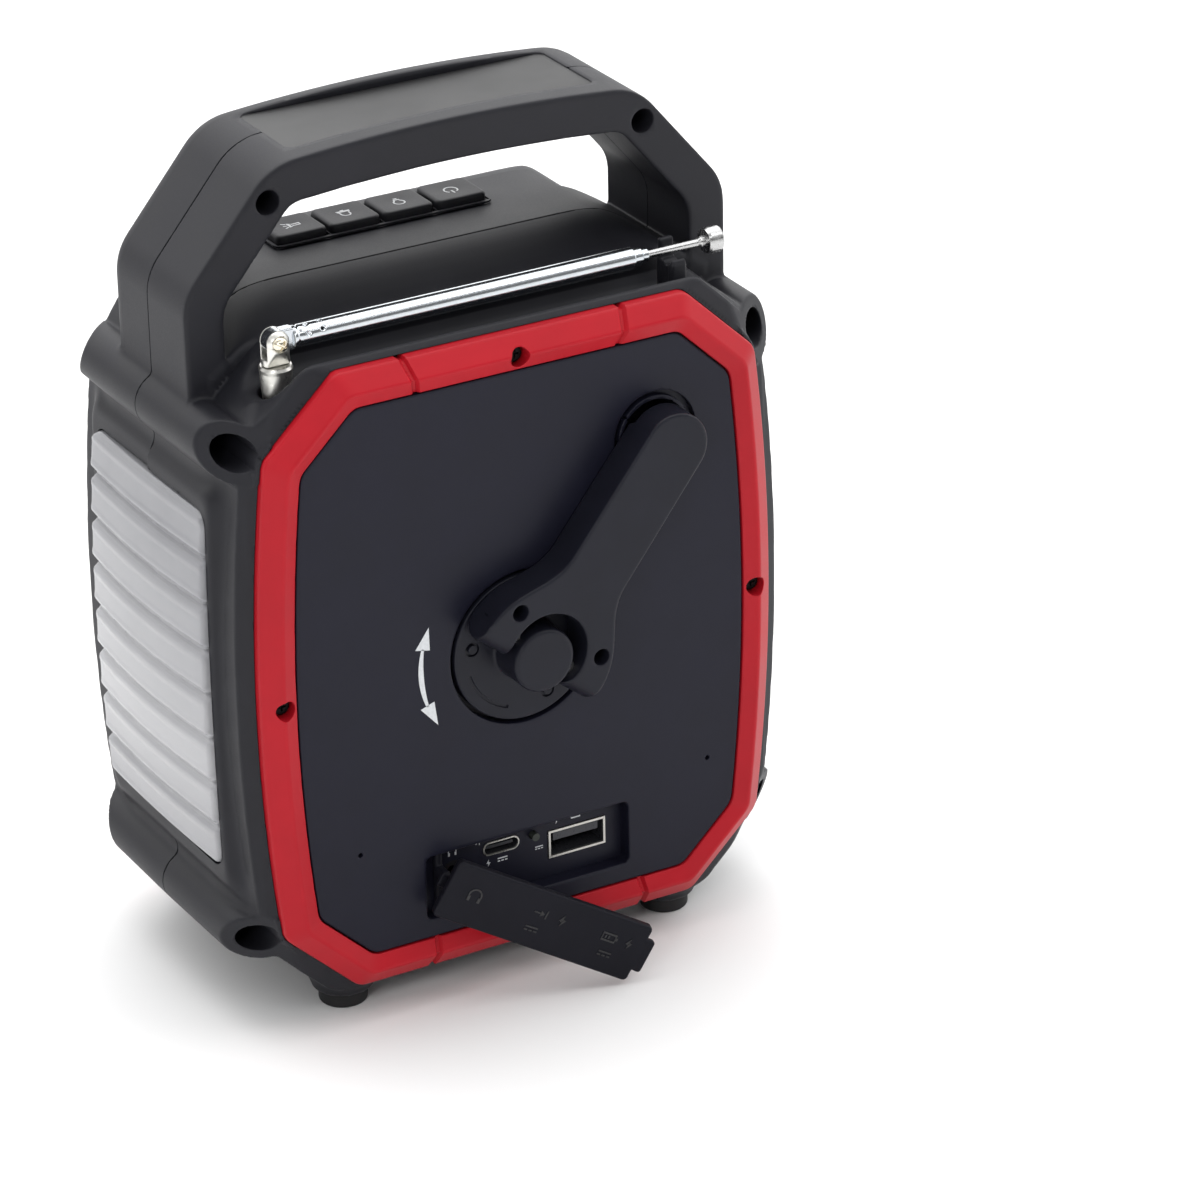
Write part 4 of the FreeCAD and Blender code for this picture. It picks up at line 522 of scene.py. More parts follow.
def solar_window_material():
    """A dark textured cover over the cell: fine wires along its length, and a slight grain."""
    m = Nodes("solar_cover")
    x, y, z = m.split()
    wires = m.math("SINE", m.math("MULTIPLY", y, 2 * math.pi / 0.00056))
    grain = m.noise(2600.0, 2.0, 0.6, m.stretched(0.35, 1.6, 1.0))
    slow = m.noise(50.0, 3.0)
    tone = m.mix(m.ramp(wires, -1.0, 1.0, 0.0, 1.0), (0.0125, 0.0125, 0.0135), (0.021, 0.021, 0.0215))
    m.set(color=tone, rough=m.ramp(slow, 0.3, 0.7, 0.42, 0.50), ior=1.5, spec=0.27)
    both = m.math("ADD", m.math("MULTIPLY", wires, 0.35), grain)
    m.bump(both, 0.35, 0.000012)
    return m.mat


def solar_cell_material():
    m = Nodes("solar_cell")
    x, y, z = m.split()
    fingers = m.math("GREATER_THAN", m.math("SINE", m.math("MULTIPLY", y, 2 * math.pi / 0.0011)), 0.94)
    bars = m.math("GREATER_THAN", m.math("SINE", m.math("MULTIPLY", x, 2 * math.pi / 0.0117)), 0.985)
    both = m.math("MAXIMUM", fingers, bars)
    m.set(color=m.mix(both, (0.010, 0.011, 0.020), (0.35, 0.35, 0.36)), rough=0.25)
    m.bump(both, 0.3, 0.00003)
    return m.mat


MAT["solar_cover"] = solar_window_material()
MAT["solar_cell"] = solar_cell_material()


def print_material(name, color, rough=0.5):
    m = Nodes(name)
    n = m.noise(1500.0, 3.0)
    m.set(color=m.mix(m.ramp(n, 0.35, 0.65, 0, 1), tuple(c * 0.9 for c in color), color), rough=rough)
    m.bump(n, 0.15, 0.000005)
    return m.mat


MAT["print"] = print_material("white_print", (0.62, 0.64, 0.66))
MAT["dim_print"] = print_material("grey_print", (0.42, 0.43, 0.44))
MAT["moulded_mark"] = print_material("moulded_mark", (0.0105, 0.0105, 0.012), 0.32)

# the octagon of the face ---------------------------------------------------------------------------------------------------------------

DX, DZ = 0.690, 0.724
BC = 41.6 * DX + 71.6 * DZ


def families(x, z, bulge=3.5):
    """Distances from the bezel's outer edge: top and bottom, sides, corners."""
    ax, az = np.abs(x), np.abs(z)
    curve = np.maximum(1 - (z / 55.4) ** 2, -0.15) * bulge
    return az - 71.6, ax - 58.6 - curve, DX * ax + DZ * az - BC


def oct_distance(x, z, k=1.2):
    t, s, c = families(x, z)
    return smax(smax(t, s, k), c, k)


# shells ------------------------------------------------------------------------------------------------------------------------------------

FOOT = (1.4, 3.0, 4.4)
TROUGH_LINE = smooth_line([(-17.6, 69.6), (-16.2, 67.5), (-14.0, 66.0), (-11.6, 65.3), (-9.2, 65.2), (-7.2, 65.8), (-5.4, 67.2), (-4.1, 69.4), (-3.4, 72.0), (-3.1, 74.6)], 4)
TROUGH = TROUGH_LINE + [(-3.1, 92.0), (-17.6, 92.0)]
DECK_REAR = smooth_line([(-38.5, 78.3), (-35.0, 77.45), (-31.0, 76.3), (-27.5, 75.1), (-25.0, 74.15), (-22.6, 73.1), (-20.5, 71.8), (-18.6, 70.2), (-17.2, 68.7), (-15.6, 67.0), (-14.0, 66.0)], 3) + [(-9.0, 65.2), (-3.0, 60.0), (-3.0, 50.0), (-39.5, 50.0), (-39.5, 78.3)]
DECK_FRONT = [(-39.5, 78.3), (-10.5, 78.3), (-8.2, 77.8), (-6.0, 76.9), (-1.6, 74.2), (-0.4, 73.0), (-0.4, 50.0), (-39.5, 50.0)]
KEY_X = [1.6 + (i - 1.5) * 12.9 for i in range(4)]


def arch_outer(x, z):
    ax = np.abs(x)
    c = 64.5 * 0.767 + 84.8 * 0.642
    diag = ax * 0.767 + z * 0.642 - c
    return smax(smax(ax - 64.5, diag, 3.0), z - 112.25 + np.minimum(ax, 50.0) ** 2 / 840.0, 4.2)


def arch_window(x, z):
    ax = np.abs(x)
    c = 64.5 * 0.767 + 84.8 * 0.642 - 9.0
    diag = ax * 0.767 + z * 0.642 - c
    return smax(smax(ax - 55.6, diag, 2.4), z - 102.85 + np.minimum(ax, 50.0) ** 2 / 840.0, 1.8)


def shell_field(rear):
    def f(x, y, z):
        yy = y if rear else MID - y
        ax, az = np.abs(x), np.abs(z)
        fam = families(x, z)
        # core: walls and the sloping margin between the bezel and the ridge
        walls = smax(smax(fam[0] - FOOT[0], fam[1] - FOOT[1] - 0.6, 1.5), fam[2] - FOOT[2], 1.5)
        margins = []
        for d, foot in zip(fam, FOOT):
            rise = foot + 0.6
            L = math.hypot(1.8, rise)
            margins.append(((d + 0.6) * 1.8 + (yy + 0.4) * rise) / L)
        margin = smax(smax(margins[0], margins[1], 0.8), margins[2], 0.8)
        core = smax(walls, margin, 0.5)
        core = np.maximum(core, yy + 0.4)
        # body side
        neck = smax(ax - 64.7, (ax - 64.7) * 0.926 + (yy + 10.0) * 0.378, 4.0)
        neck = smax(smax(neck, az - 58.5, 3.0), yy + 2.3, 0.5)
        S = smin(core, neck, 1.6)
        # corner bosses
        r = 6.2 + 0.3 * np.clip((-1.0 - yy) / 37.5, 0, 1)
        boss = np.sqrt((ax - 62.2) ** 2 + (az - 56.5) ** 2) - r
        boss = np.maximum(boss, yy + 0.5)
        S = smin(S, boss, 1.2)
        # lantern surround
        fx = (66.6 if rear else 65.9) + 0.7 * (1 - (z / 46.0) ** 2)
        back = (ax - 61.0) * 0.659 + (yy + 4.9) * 0.753
        top = smax((ax - 61.0) * 0.781 + (az - 52.0) * 0.625, az - 55.0, 1.0)
        frame_ = smax(smax(smax(back, top, 3.2), ax - fx, 0.8), yy + 3.0, 0.5)
        S = smin(S, frame_, 1.0)
        # deck
        outline = smax(smax(ax * 0.0 + z - 78.4, ax * 0.42 + z * 0.9075 - (42.8 * 0.42 + 77.6 * 0.9075), 3.0), ax * 0.66 + z * 0.7513 - (54.4 * 0.66 + 71.4 * 0.7513), 4.0)
        outline = np.maximum(outline, ax - 59.5)
        deck = smax(polygon(yy, z, DECK_REAR if rear else DECK_FRONT), outline, 1.6)
        # beyond the legs it ends at the corner walls
        deck = smax(deck, -np.maximum(5.5 - fam[2], -20.9 - yy), 1.6)
        S = smin(S, deck, 1.0)
        if rear:
            trough = polygon(yy, z, TROUGH)
            S = smax(S, -trough, 0.6)
        # slanted ends of the bosses
        n = math.sqrt(0.9 ** 2 + 1 + 0.45 ** 2)
        cutp = (yy + 5.2 + 0.9 * (ax - 62.2) + 0.45 * (az - 56.5)) / n
        cutp = np.where(az > 74.5, -9.0, cutp)
        # the cut rises to meet the bezel's corner
        cutp = cutp - np.clip(1.4 - oct_distance(x, z), 0.0, 1.4) * 1.1
        S = smax(S, cutp, 0.5)
        # handle
        outside = smax(arch_outer(x, z), yy + 20.7, 1.15 if rear else 4.6)
        inside_ = smax(-arch_window(x, z), yy + 20.7, 0.9)
        handle = smax(smax(outside, inside_, 0.8), 58.0 - z, 1.0)
        S = smin(S, handle, 1.1)
        # foot pads
        px = (ax - 40.5)
        pad = np.sqrt(px ** 2 + (yy + 9.5) ** 2) - (6.6 + np.clip(z + 75.9, 0, 4) * 0.35)
        pad = smax(pad, -(z + 75.9), 0.8)
        pad = np.maximum(np.maximum(pad, z + 62.0), yy + 2.0)
        S = smin(S, pad, 1.6)
        if rear:
            # the socket of the antenna clip
            S = np.maximum(S, -np.maximum(np.maximum(slab(x, -47.1, -43.5), slab(y, -14.3, -7.8)), 63.8 - z))
        # parting groove
        dy = yy + 38.5
        S = np.maximum(S, np.minimum(0.15 - dy, S + 0.55))
        # screw wells
        if rear:
            # a wall is left between the well and the bezel
            well = np.maximum(np.sqrt((ax - 62.2) ** 2 + (az - 56.5) ** 2) - 3.8, 0.85 - oct_distance(x, z))
            S = smax(S, -np.maximum(well, -28.0 - yy), 0.3)
            S = smax(S, -np.maximum(np.sqrt((ax - 44.4) ** 2 + (z - 102.4) ** 2) - 2.7, -32.0 - yy), 0.35)
        # the recess of the solar window
        solar = rbox2(x, yy, 0.0, -38.5, 36.4, 11.7, 2.2)
        S = smax(S, -np.maximum(solar, 109.2 - z), 0.4)
        # lens openings
        lens = smax(rbox2(yy, z, -38.5, 0.0, 26.8 + 0.18, 41.6 + 0.18, 4.2), 65.3 - ax, 0.3)
        S = np.maximum(S, -lens)
        S = np.maximum(S, -np.maximum(rbox2(yy, z, -38.5, 0.0, 22.5, 37.5, 2.0), np.maximum(50.0 - ax, ax - 70.0)))
        # the seat of the bezel
        od = oct_distance(x, z)
        S = np.maximum(S, -np.maximum(np.maximum(od - 0.16, -2.45 - od), -2.7 - yy))
        # feet
        S = np.maximum(S, -np.maximum(np.sqrt(px ** 2 + (yy + 9.5) ** 2) - 5.5, z + 74.4))
        # inside
        room = np.maximum(np.maximum(od - 0.2, yy + 4.1), np.maximum(z - 62.4, -69.0 - z))
        top_in = np.maximum(polygon(yy, z, [(-40, 58), (-40, 75.8), (-30, 74.6), (-25, 72.0), (-22.6, 68.6), (-21.6, 62), (-21.6, 58)] if rear else [(-40, 58), (-40, 75.8), (-11, 75.8), (-6, 72), (-3.4, 70), (-3.4, 58)]), ax - 41.0)
        sides = np.maximum(np.maximum(ax - 62.4, 56.0 - ax), np.maximum(yy + 10.0, az - 47.0))
        inner = np.minimum(np.minimum(room, top_in), sides)
        post = np.sqrt((ax - 62.2) ** 2 + (az - 56.5) ** 2) - 5.9
        inner = np.maximum(inner, -post)
        if rear:
            inner = np.maximum(inner, -np.maximum(disc(x, yy, 49.4, -10.4, 6.2), 54.0 - z))
            inner = np.maximum(inner, -np.maximum(disc(x, z, 0.0, 0.0, 9.5), -9.5 - yy))
            inner = np.maximum(inner, -np.maximum(disc(x, z, 25.84, 9.41, 4.0), -8.0 - yy))
        S = np.maximum(S, -inner)
        if rear:
            S = np.maximum(S, -np.maximum(disc(x, z, 0, 0, 18.1), -1.4 - yy))
            S = np.maximum(S, -disc(x, z, 0, 0, 6.0) + 0 * yy)
            S = np.maximum(S, -np.maximum(disc(x, z, 25.84, 9.41, 1.5), -10.0 - yy))
            S = np.maximum(S, -np.maximum(disc(x, z, -32.75, 41.55, 11.7), -12.0 - yy))
            S = np.maximum(S, -np.maximum(np.maximum(slab(x, -27.4, 28.0), slab(z, -61.4, -42.2)), -6.0 - yy))
            S = np.maximum(S, -np.maximum(disc(x, yy, 49.4, -10.4, 3.0), 56.0 - z))
            S = smax(S, -np.maximum(disc(x, yy, 49.4, -10.4, 4.0), 62.0 - z), 0.25)
        else:
            for cx in KEY_X:
                S = np.maximum(S, -np.maximum(rbox2(x, y, cx, -58.2, 6.4, 5.95, 1.7), slab(z, 74.0, 84.0)))
            S = np.maximum(S, -np.maximum(np.maximum(ax - 38.0, slab(z, 30.0, 56.0)), -5.0 - yy))
            S = np.maximum(S, -np.maximum(disc(x, z, -17.0, -8.0, 28.0), -5.0 - yy))
            S = np.maximum(S, -np.maximum(disc(x, z, 31.0, 13.0, 5.0), -5.0 - yy))
            S = np.maximum(S, -np.maximum(disc(x, z, 31.0, -13.5, 5.0), -5.0 - yy))
            S = np.maximum(S, -np.maximum(disc(x, z, 31.0, -40.0, 11.6), -5.0 - yy))
        return np.maximum(S, -dy)

    return f


def build_shells():
    # finer steps where the corner bosses are
    xs = axis((-70.4, -66.7, 0.74), (-66.7, -57.7, 0.54), (-57.7, -37.4, 0.82), (-37.4, 37.6, 1.9), (37.6, 57.7, 0.82), (57.7, 66.7, 0.54), (66.7, 70.4, 0.74))
    zs = axis((-77.1, -61.0, 0.9), (-61.0, -52.0, 0.6), (-52.0, -38.3, 0.9), (-38.3, 38.2, 2.1), (38.2, 52.0, 0.82), (52.0, 61.0, 0.54), (61.0, 113.1, 0.78))
    fine = [-38.66, -38.44, -38.30, -38.14]
    yr = np.concatenate([fine, axis((-37.8, -23.4, 1.45), (-23.4, 0.31, 0.68))])
    yf = MID - yr[::-1]
    rear = contour("rear_shell_moulding", shell_field(True), xs, yr, zs)
    finish_piece(rear, "case", MAT["shell"], "rear_shell")
    front = contour("front_shell_moulding", shell_field(False), xs, yf, zs)
    finish_piece(front, "case", MAT["shell"], "front_shell")


# bezels ----------------------------------------------------------------------------------------------------------------------------------------


BEZEL_HOLES = ((0.0, 66.8), (57.25, 0.0), (0.0, -66.8), (-57.25, 0.0))


def bezel_field(rear):
    grooves = ((25.0, 1, 3.0), (-25.0, 1, -3.0), (23.5, -1, 1.5), (-28.0, -1, -1.5))

    def f(x, y, z):
        yy = y if rear else MID - y
        d = oct_distance(x, z)
        outer = d
        rise = d * 0.614 + (yy - 0.9) * 0.789
        inner = -(d + 4.24) * 0.4077 + (yy - 4.2) * 0.9131
        hole = -(d + 7.6)
        S = smax(rise, inner, 0.55)
        S = smax(S, outer, 0.5)
        S = smax(S, hole, 0.25)
        low = -(yy + 0.4)
        skirt = np.maximum(-(yy + 2.5), -(d + 2.3))
        S = np.maximum(S, np.minimum(low, skirt))
        for bx, bz in BEZEL_HOLES:
            S = smax(S, -np.maximum(disc(x, z, bx, bz, 2.2), 0.2 - yy), 0.2)
            S = np.maximum(S, -disc(x, z, bx, bz, 1.1) + 0 * yy)
        surf = np.maximum(np.maximum(rise, inner), d)
        for gx, sz, lean in grooves:
            t = (z * sz - 67.5) / 5.5
            # a shallow V that follows the band's surface
            gap = (np.abs(x - gx - lean * t * 0.5) - 0.95 - surf * 0.75) / 1.25
            S = np.maximum(S, -np.maximum(np.maximum(gap, -(surf + 0.8)), 40.0 - z * sz))
        return S

    return f


def build_bezels():
    # finer steps where the screw holes and the V grooves are
    xs = axis((-63.6, -59.8, 0.55), (-59.8, -54.2, 0.3), (-54.2, -30.4, 0.6), (-30.4, -22.6, 0.32), (-22.6, -2.8, 0.6), (-2.8, 2.8, 0.3), (2.8, 21.4, 0.6), (21.4, 27.4, 0.32), (27.4, 54.2, 0.6), (54.2, 59.8, 0.3), (59.8, 63.6, 0.55))
    zs = axis((-73.2, -69.5, 0.55), (-69.5, -63.9, 0.3), (-63.9, -38.0, 0.55), (-38.0, -2.8, 1.1), (-2.8, 2.8, 0.3), (2.8, 38.0, 1.1), (38.0, 63.9, 0.55), (63.9, 69.5, 0.3), (69.5, 73.2, 0.55))
    yr = axis((-2.95, 0.0, 0.6), (0.0, 5.0, 0.36))
    rear = contour("rear_bezel_ring", bezel_field(True), xs, yr, zs)
    finish_piece(rear, "case", MAT["bezel"], "rear_bezel")
    front = contour("front_bezel_ring", bezel_field(False), xs, MID - yr[::-1], zs)
    finish_piece(front, "case", MAT["bezel"], "front_bezel")

    # the small screws at the bottom of the bezel holes
    heads = []
    for rear in (True, False):
        for bx, bz in BEZEL_HOLES:
            heads.append((rear, bx, bz))

    def screws(x, y, z, bx, bz, rear):
        yy = y if rear else MID - y
        r = disc(x, z, bx, bz, 0.0)
        S = np.maximum(r - 1.0, slab(yy, -2.6, 0.6))
        head = smax(smax(r - 1.85, yy - 1.05, 0.35), 0.3 - yy, 0.1)
        S = np.minimum(S, head)
        cross = np.minimum(np.maximum(np.abs(x - bx) - 0.2, np.abs(z - bz) - 1.0), np.maximum(np.abs(z - bz) - 0.2, np.abs(x - bx) - 1.0))
        return np.maximum(S, -np.maximum(cross, 0.6 - yy))

    for i, (rear, bx, bz) in enumerate(heads):
        ya = axis((-2.8, 0.2, 0.6), (0.2, 1.4, 0.15))
        ob = contour("bezel_screw_%d" % (i + 1), lambda x, y, z, bx=bx, bz=bz, rear=rear: screws(x, y, z, bx, bz, rear),
                     axis((bx - 2.2, bx + 2.2, 0.2)), ya if rear else MID - ya[::-1], axis((bz - 2.2, bz + 2.2, 0.2)))
        # the screw heads are black steel and are also kept dark as painted shade for the deep bezel holes
        finish_piece(ob, "case", MAT["black_steel_and_hole_shade"], "bezel_screws")


# panels ---------------------------------------------------------------------------------------------------------------------------------------------

U = (-0.619, 0.7855)
V_ = (-0.7855, -0.619)
POCKET = (U[0] * 52.9, U[1] * 52.9)
PORT = (0.3, -51.75)
USBC, USBA, JACK, LAMP = (5.2, -48.3), (-13.6, -51.4), (17.0, -51.6), (-2.7, -47.8)


def panel_field(x, y, z):
    d = oct_distance(x, z) + 7.95
    S = smax(d, y - 2.6, 0.45)
    S = np.maximum(S, -(y + 0.4))
    cup = np.maximum(disc(x, z, POCKET[0], POCKET[1], 11.3), np.maximum(-11.7 - y, y - 0.5))
    S = np.minimum(S, cup)
    tray = np.maximum(np.maximum(slab(x, -26.6, 27.2), slab(z, -60.6, -43.0)), slab(y, -2.6, 0.5))
    S = np.minimum(S, tray)
    S = smax(S, -disc(x, z, 0, 0, 17.9), 0.35)
    pr = disc(x, z, POCKET[0], POCKET[1], 0.0)
    S = smax(S, -np.maximum(pr - 7.82, -10.5 - y), 0.3)
    S = smax(S, -np.maximum(np.maximum(pr - 9.94, 0.9 - y), np.minimum(8.72 - pr, 2.45 - y) if False else np.minimum(np.maximum(8.72 - pr, 0 * y - 99), 99)), 0.3)
    S = smax(S, -np.maximum(pr - 9.6, 2.42 - y), 0.2)
    port = rbox2(x, z, PORT[0], PORT[1], 25.1, 7.55, 1.4)
    S = smax(S, -np.maximum(port, -0.9 - y), 0.35)
    S = np.maximum(S, -np.maximum(rbox2(x, z, USBC[0], USBC[1], 4.6, 1.75, 1.7), 0 * y - 99))
    S = np.maximum(S, -np.maximum(rbox2(x, z, USBA[0], USBA[1], 7.25, 3.45, 0.3), 0 * y - 99))
    S = np.maximum(S, -disc(x, z, JACK[0], JACK[1], 3.05) + 0 * y)
    S = np.maximum(S, -disc(x, z, LAMP[0], LAMP[1], 1.0) + 0 * y)
    for px in (41.0, -45.0):
        S = smax(S, -np.maximum(disc(x, z, px, -39.0, 0.55), 1.4 - y), 0.15)
    return S


def front_panel_field(x, y, z):
    yy = MID - y
    d = oct_distance(x, z) + 7.95
    S = smax(d, yy - 2.6, 0.45)
    S = np.maximum(S, -(yy + 0.4))
    S = smax(S, -disc(x, z, -17.0, -8.0, 29.1), 0.35)
    S = smax(S, -rbox2(x, z, 0.0, 43.5, 36.0, 9.5, 1.0), 0.35)
    S = smax(S, -disc(x, z, 31.0, 13.0, 3.4), 0.3)
    S = smax(S, -disc(x, z, 31.0, -13.5, 3.4), 0.3)
    S = smax(S, -disc(x, z, 31.0, -40.0, 12.1), 0.35)
    return S


def with_lines(values, extra):
    """Adds grid planes near small features."""
    v = list(values)
    for centre, half, step in extra:
        v = [q for q in v if abs(q - centre) > half + 0.12]
        v += list(np.arange(centre - half, centre + half + 1e-9, step))
    return np.array(sorted(v))


def build_panels():
    xs = with_lines(axis((-56.1, 56.1, 0.66)), [(41.0, 0.8, 0.16), (-45.0, 0.8, 0.16)])
    zs = with_lines(axis((-65.2, 65.2, 0.66)), [(-39.0, 0.8, 0.16)])
    ys = np.concatenate([[-12.4, -11.2], axis((-10.8, -2.9, 1.6)), [-2.35, -1.5, -1.05, -0.7, -0.2, 0.4, 0.75, 1.1, 1.6, 2.05, 2.35, 2.52, 2.75]])
    panel = contour("rear_panel_plate", panel_field, xs, ys, zs)
    finish_piece(panel, "case", MAT["panel"], "rear_panel")
    ys = MID - np.array([-0.7, 0.3, 1.2, 2.05, 2.4, 2.75])[::-1]
    fp = contour("front_panel_plate", front_panel_field, axis((-56.1, 56.1, 0.8)), ys, axis((-65.2, 65.2, 0.8)))
    finish_piece(fp, "case", MAT["panel"], "front_panel")


# crank --------------------------------------------------------------------------------------------------------------------------------------------------

CRANK_AXES = ((U[0], 0, U[1]), (0, 1, 0), (V_[0], 0, V_[1]))


def arm_field(u, y, v):
    head = np.sqrt(u * u + v * v) - 17.0
    t = np.clip(u / 52.9, 0, 1)
    bar = np.sqrt((u - np.clip(u, 0, 52.9)) ** 2 + v * v) - (8.15 - 0.4 * t)
    plan = smin(head, bar, 7.0)
    ear = np.minimum(1.0 - u, np.sqrt((u - 1.0) ** 2 + (y - 7.3) ** 2) - 4.2)
    S = smax(plan, y - 11.6, 0.75)
    S = smax(S, 3.0 - y, 0.4)
    S = smax(S, ear, 0.5)
    S = smax(S, -disc(u, v, 1.6, 0.0, 9.3), 0.5)
    S = np.maximum(S, -np.maximum(np.sqrt((u - 1.0) ** 2 + (y - 7.3) ** 2) - 1.56, np.abs(v) - 16.5))
    for s in (1, -1):
        S = smax(S, -disc(u, v, 6.5, 12.3 * s, 1.85), 0.3)
    S = smax(S, -np.maximum(disc(u, v, 52.9, 0.0, 6.5), y - 10.5), 0.3)
    # the underside of the tip is relieved to sweep over the bezel
    r = np.sqrt(u * u + v * v)
    S = smax(S, -np.maximum((52.7 - r) * 0.85 + (y - 3.0) * 0.53, y - 4.55), 0.3)
    return S


def hub_field(u, y, v):
    r = np.sqrt(u * u + v * v)
    S = smax(r - 17.0, y - 2.6, 0.45)
    S = smax(S, -1.0 - y, 0.2)
    post = smax(r - 7.2, y - 11.5, 1.1)
    post = np.maximum(post, 1.0 - y)
    S = smin(S, post, 0.7)
    for s in (1, -1):
        # low pegs in a ring groove; the opened arm lies just above them
        pr = disc(u, v, -6.0, 11.4 * s, 0.0)
        S = smax(S, -np.maximum(np.maximum(pr - 1.65, 1.0 - pr), 2.0 - y), 0.12)
        S = smin(S, np.maximum(pr - 1.0, np.maximum(y - 2.88, 1.0 - y)), 0.12)
    # a moulded arc mark near the rim
    a = np.arctan2(v, u)
    arc = np.maximum(np.abs(r - 14.0) - 0.32, np.abs(np.abs(np.mod(a - math.radians(188.0) + math.pi, 2 * math.pi) - math.pi)) * 14.0 - 6.8)
    S = smax(S, -np.maximum(arc, 2.25 - y), 0.15)
    S = np.maximum(S, -np.maximum(r - 3.0, y - 1.2))
    S = np.maximum(S, -np.maximum(np.sqrt((u - 1.0) ** 2 + (y - 7.3) ** 2) - 1.5, np.abs(v) - 20.0))
    return S


def build_crank():
    arm = contour("crank_arm_lever", arm_field, axis((-4.1, 19.7, 0.42), (19.7, 61.8, 0.62)), axis((2.4, 12.3, 0.45)), axis((-18.1, 18.3, 0.42)), CRANK_AXES)
    finish_piece(arm, "crank_lever", MAT["crank"], "crank_arm")
    hub = contour("crank_hub_disc", hub_field, axis((-18.0, 18.1, 0.42)), np.concatenate([axis((-1.5, 2.2, 0.6)), [2.36, 2.5, 2.75], axis((3.05, 12.2, 0.45))]), axis((-18.0, 18.1, 0.42)), CRANK_AXES)
    finish_piece(hub, "crank_drive", MAT["crank"], "crank_hub")


# lenses --------------------------------------------------------------------------------------------------------------------------------------------------

PITCH = 83.2 / 8


def lens_field(sx):
    def f(x, y, z):
        h = x * sx
        w = np.clip((y + 38.5) / 26.8, -1.05, 1.05)
        fz = 1 - (z / 41.6) ** 2
        edge = 67.3 + 1.6 * fz
        mid = edge + 1.7 * (0.35 + 0.65 * fz)
        crown = edge + (mid - edge) * (1 - w * w)
        # louvres: each slat is a pillow that stands proud towards its lower edge
        t = np.mod(z + 41.6, PITCH) / PITCH
        near = np.minimum(t, 1 - t) * PITCH
        s_ = np.clip((near - 0.75) / 0.95, 0, 1)
        groove = 0.80 * (1 - s_ * s_ * (3 - 2 * s_)) + 0.30 * np.exp(-((near / 0.45) ** 2))
        slat = 0.26 * (1 - t) + 0.22 * np.exp(-(((near - 2.3) / 0.75) ** 2))
        surf = crown - groove - 0.15 + slat * 0.8
        S = (h - surf) * 0.88
        plan = rbox2(y, z, -38.5, 0.0, 26.8, 41.6, 4.0)
        notch = plan + np.exp(-((near / 0.5) ** 2)) * 0.9
        S = smax(S, notch, 0.9)
        S = np.maximum(S, 65.35 - h)
        hollow = np.maximum(np.maximum(h - (crown - 2.9), plan + 2.4), -(h - 60.0))
        return np.maximum(S, -hollow)

    return f


def build_lenses():
    for sx, name, node in ((1, "lantern_lens_louvred_right", "lantern_lens_right"), (-1, "lantern_lens_louvred_left", "lantern_lens_left")):
        xs = axis((64.6, 71.4, 0.42))
        if sx < 0:
            xs = -xs[::-1]
        ob = contour(name, lens_field(sx), xs, axis((-66.1, -58.0, 0.6), (-58.0, -19.0, 1.3), (-19.0, -10.9, 0.6)), axis((-42.4, 42.4, 0.36)))
        finish_piece(ob, "case", MAT["lens"], node)


# printed marks ------------------------------------------------------------------------------------------------------------------------------------------------


def ribbon(points, width, closed=False):
    """Quads of a line of the given width, in 2D, as (points, faces)."""
    P = np.asarray(points, float)
    n = len(P)
    out, faces = [], []
    for i in range(n):
        a = P[(i - 1) % n] if (closed or i > 0) else P[i]
        b = P[(i + 1) % n] if (closed or i < n - 1) else P[i]
        t = b - a
        t /= max(np.linalg.norm(t), 1e-9)
        nrm = np.array([-t[1], t[0]])
        prev = P[i] - P[(i - 1) % n] if (closed or i > 0) else None
        nxt = P[(i + 1) % n] - P[i] if (closed or i < n - 1) else None
        m = 1.0
        if prev is not None and nxt is not None:
            u0, u1 = prev / np.linalg.norm(prev), nxt / np.linalg.norm(nxt)
            m = 1 / max(0.5, math.sqrt(max(0.0, (1 + float(u0 @ u1)) / 2)))
        out += [P[i] + nrm * width / 2 * m, P[i] - nrm * width / 2 * m]
    last = n if closed else n - 1
    for i in range(last):
        j = (i + 1) % n
        faces.append([2 * i, 2 * i + 1, 2 * j + 1, 2 * j])
    return np.array(out), faces


def solid_print(name, shapes, place, thick):
    """Thin closed solids from 2D shapes. place maps (a, b, height) arrays to points."""
    verts, faces = [], []
    for P, F in shapes:
        P = np.asarray(P, float)
        n = len(P)
        base = len(verts)
        verts += [tuple(v) for v in place(P[:, 0], P[:, 1], np.full(n, thick))]
        verts += [tuple(v) for v in place(P[:, 0], P[:, 1], np.full(n, -0.02))]
        edges = {}
        for f in F:
            faces.append([base + i for i in f])
            faces.append([base + n + i for i in reversed(f)])
            for a, b in zip(f, f[1:] + f[:1]):
                edges[(a, b)] = edges.get((a, b), 0) + 1
        for (a, b) in edges:
            if (b, a) not in edges:
                faces.append([base + b, base + a, base + n + a, base + n + b])
    me = bpy.data.meshes.new(name)
    me.from_pydata([tuple(v) for v in to_row(np.array(verts))], [], faces)
    me.validate()
    ob = bpy.data.objects.new(name, me)
    bpy.context.scene.collection.objects.link(ob)
    bm_fix(ob)
    return ob


def bm_fix(ob):
    import bmesh
    bm = bmesh.new()
    bm.from_mesh(ob.data)
    bmesh.ops.recalc_face_normals(bm, faces=bm.faces)
    bm.to_mesh(ob.data)
    bm.free()
    ob.data.update()


def fan(points):
    n = len(points)
    return np.asarray(points, float), [list(range(n))]


def circle(cx, cy, r, n=28, a0=0.0, a1=360.0):
    full = abs(a1 - a0) >= 359.9
    t = np.radians(np.linspace(a0, a1, n + 1)[: (n if full else n + 1)])
    return np.stack([cx + r * np.cos(t), cy + r * np.sin(t)], 1)


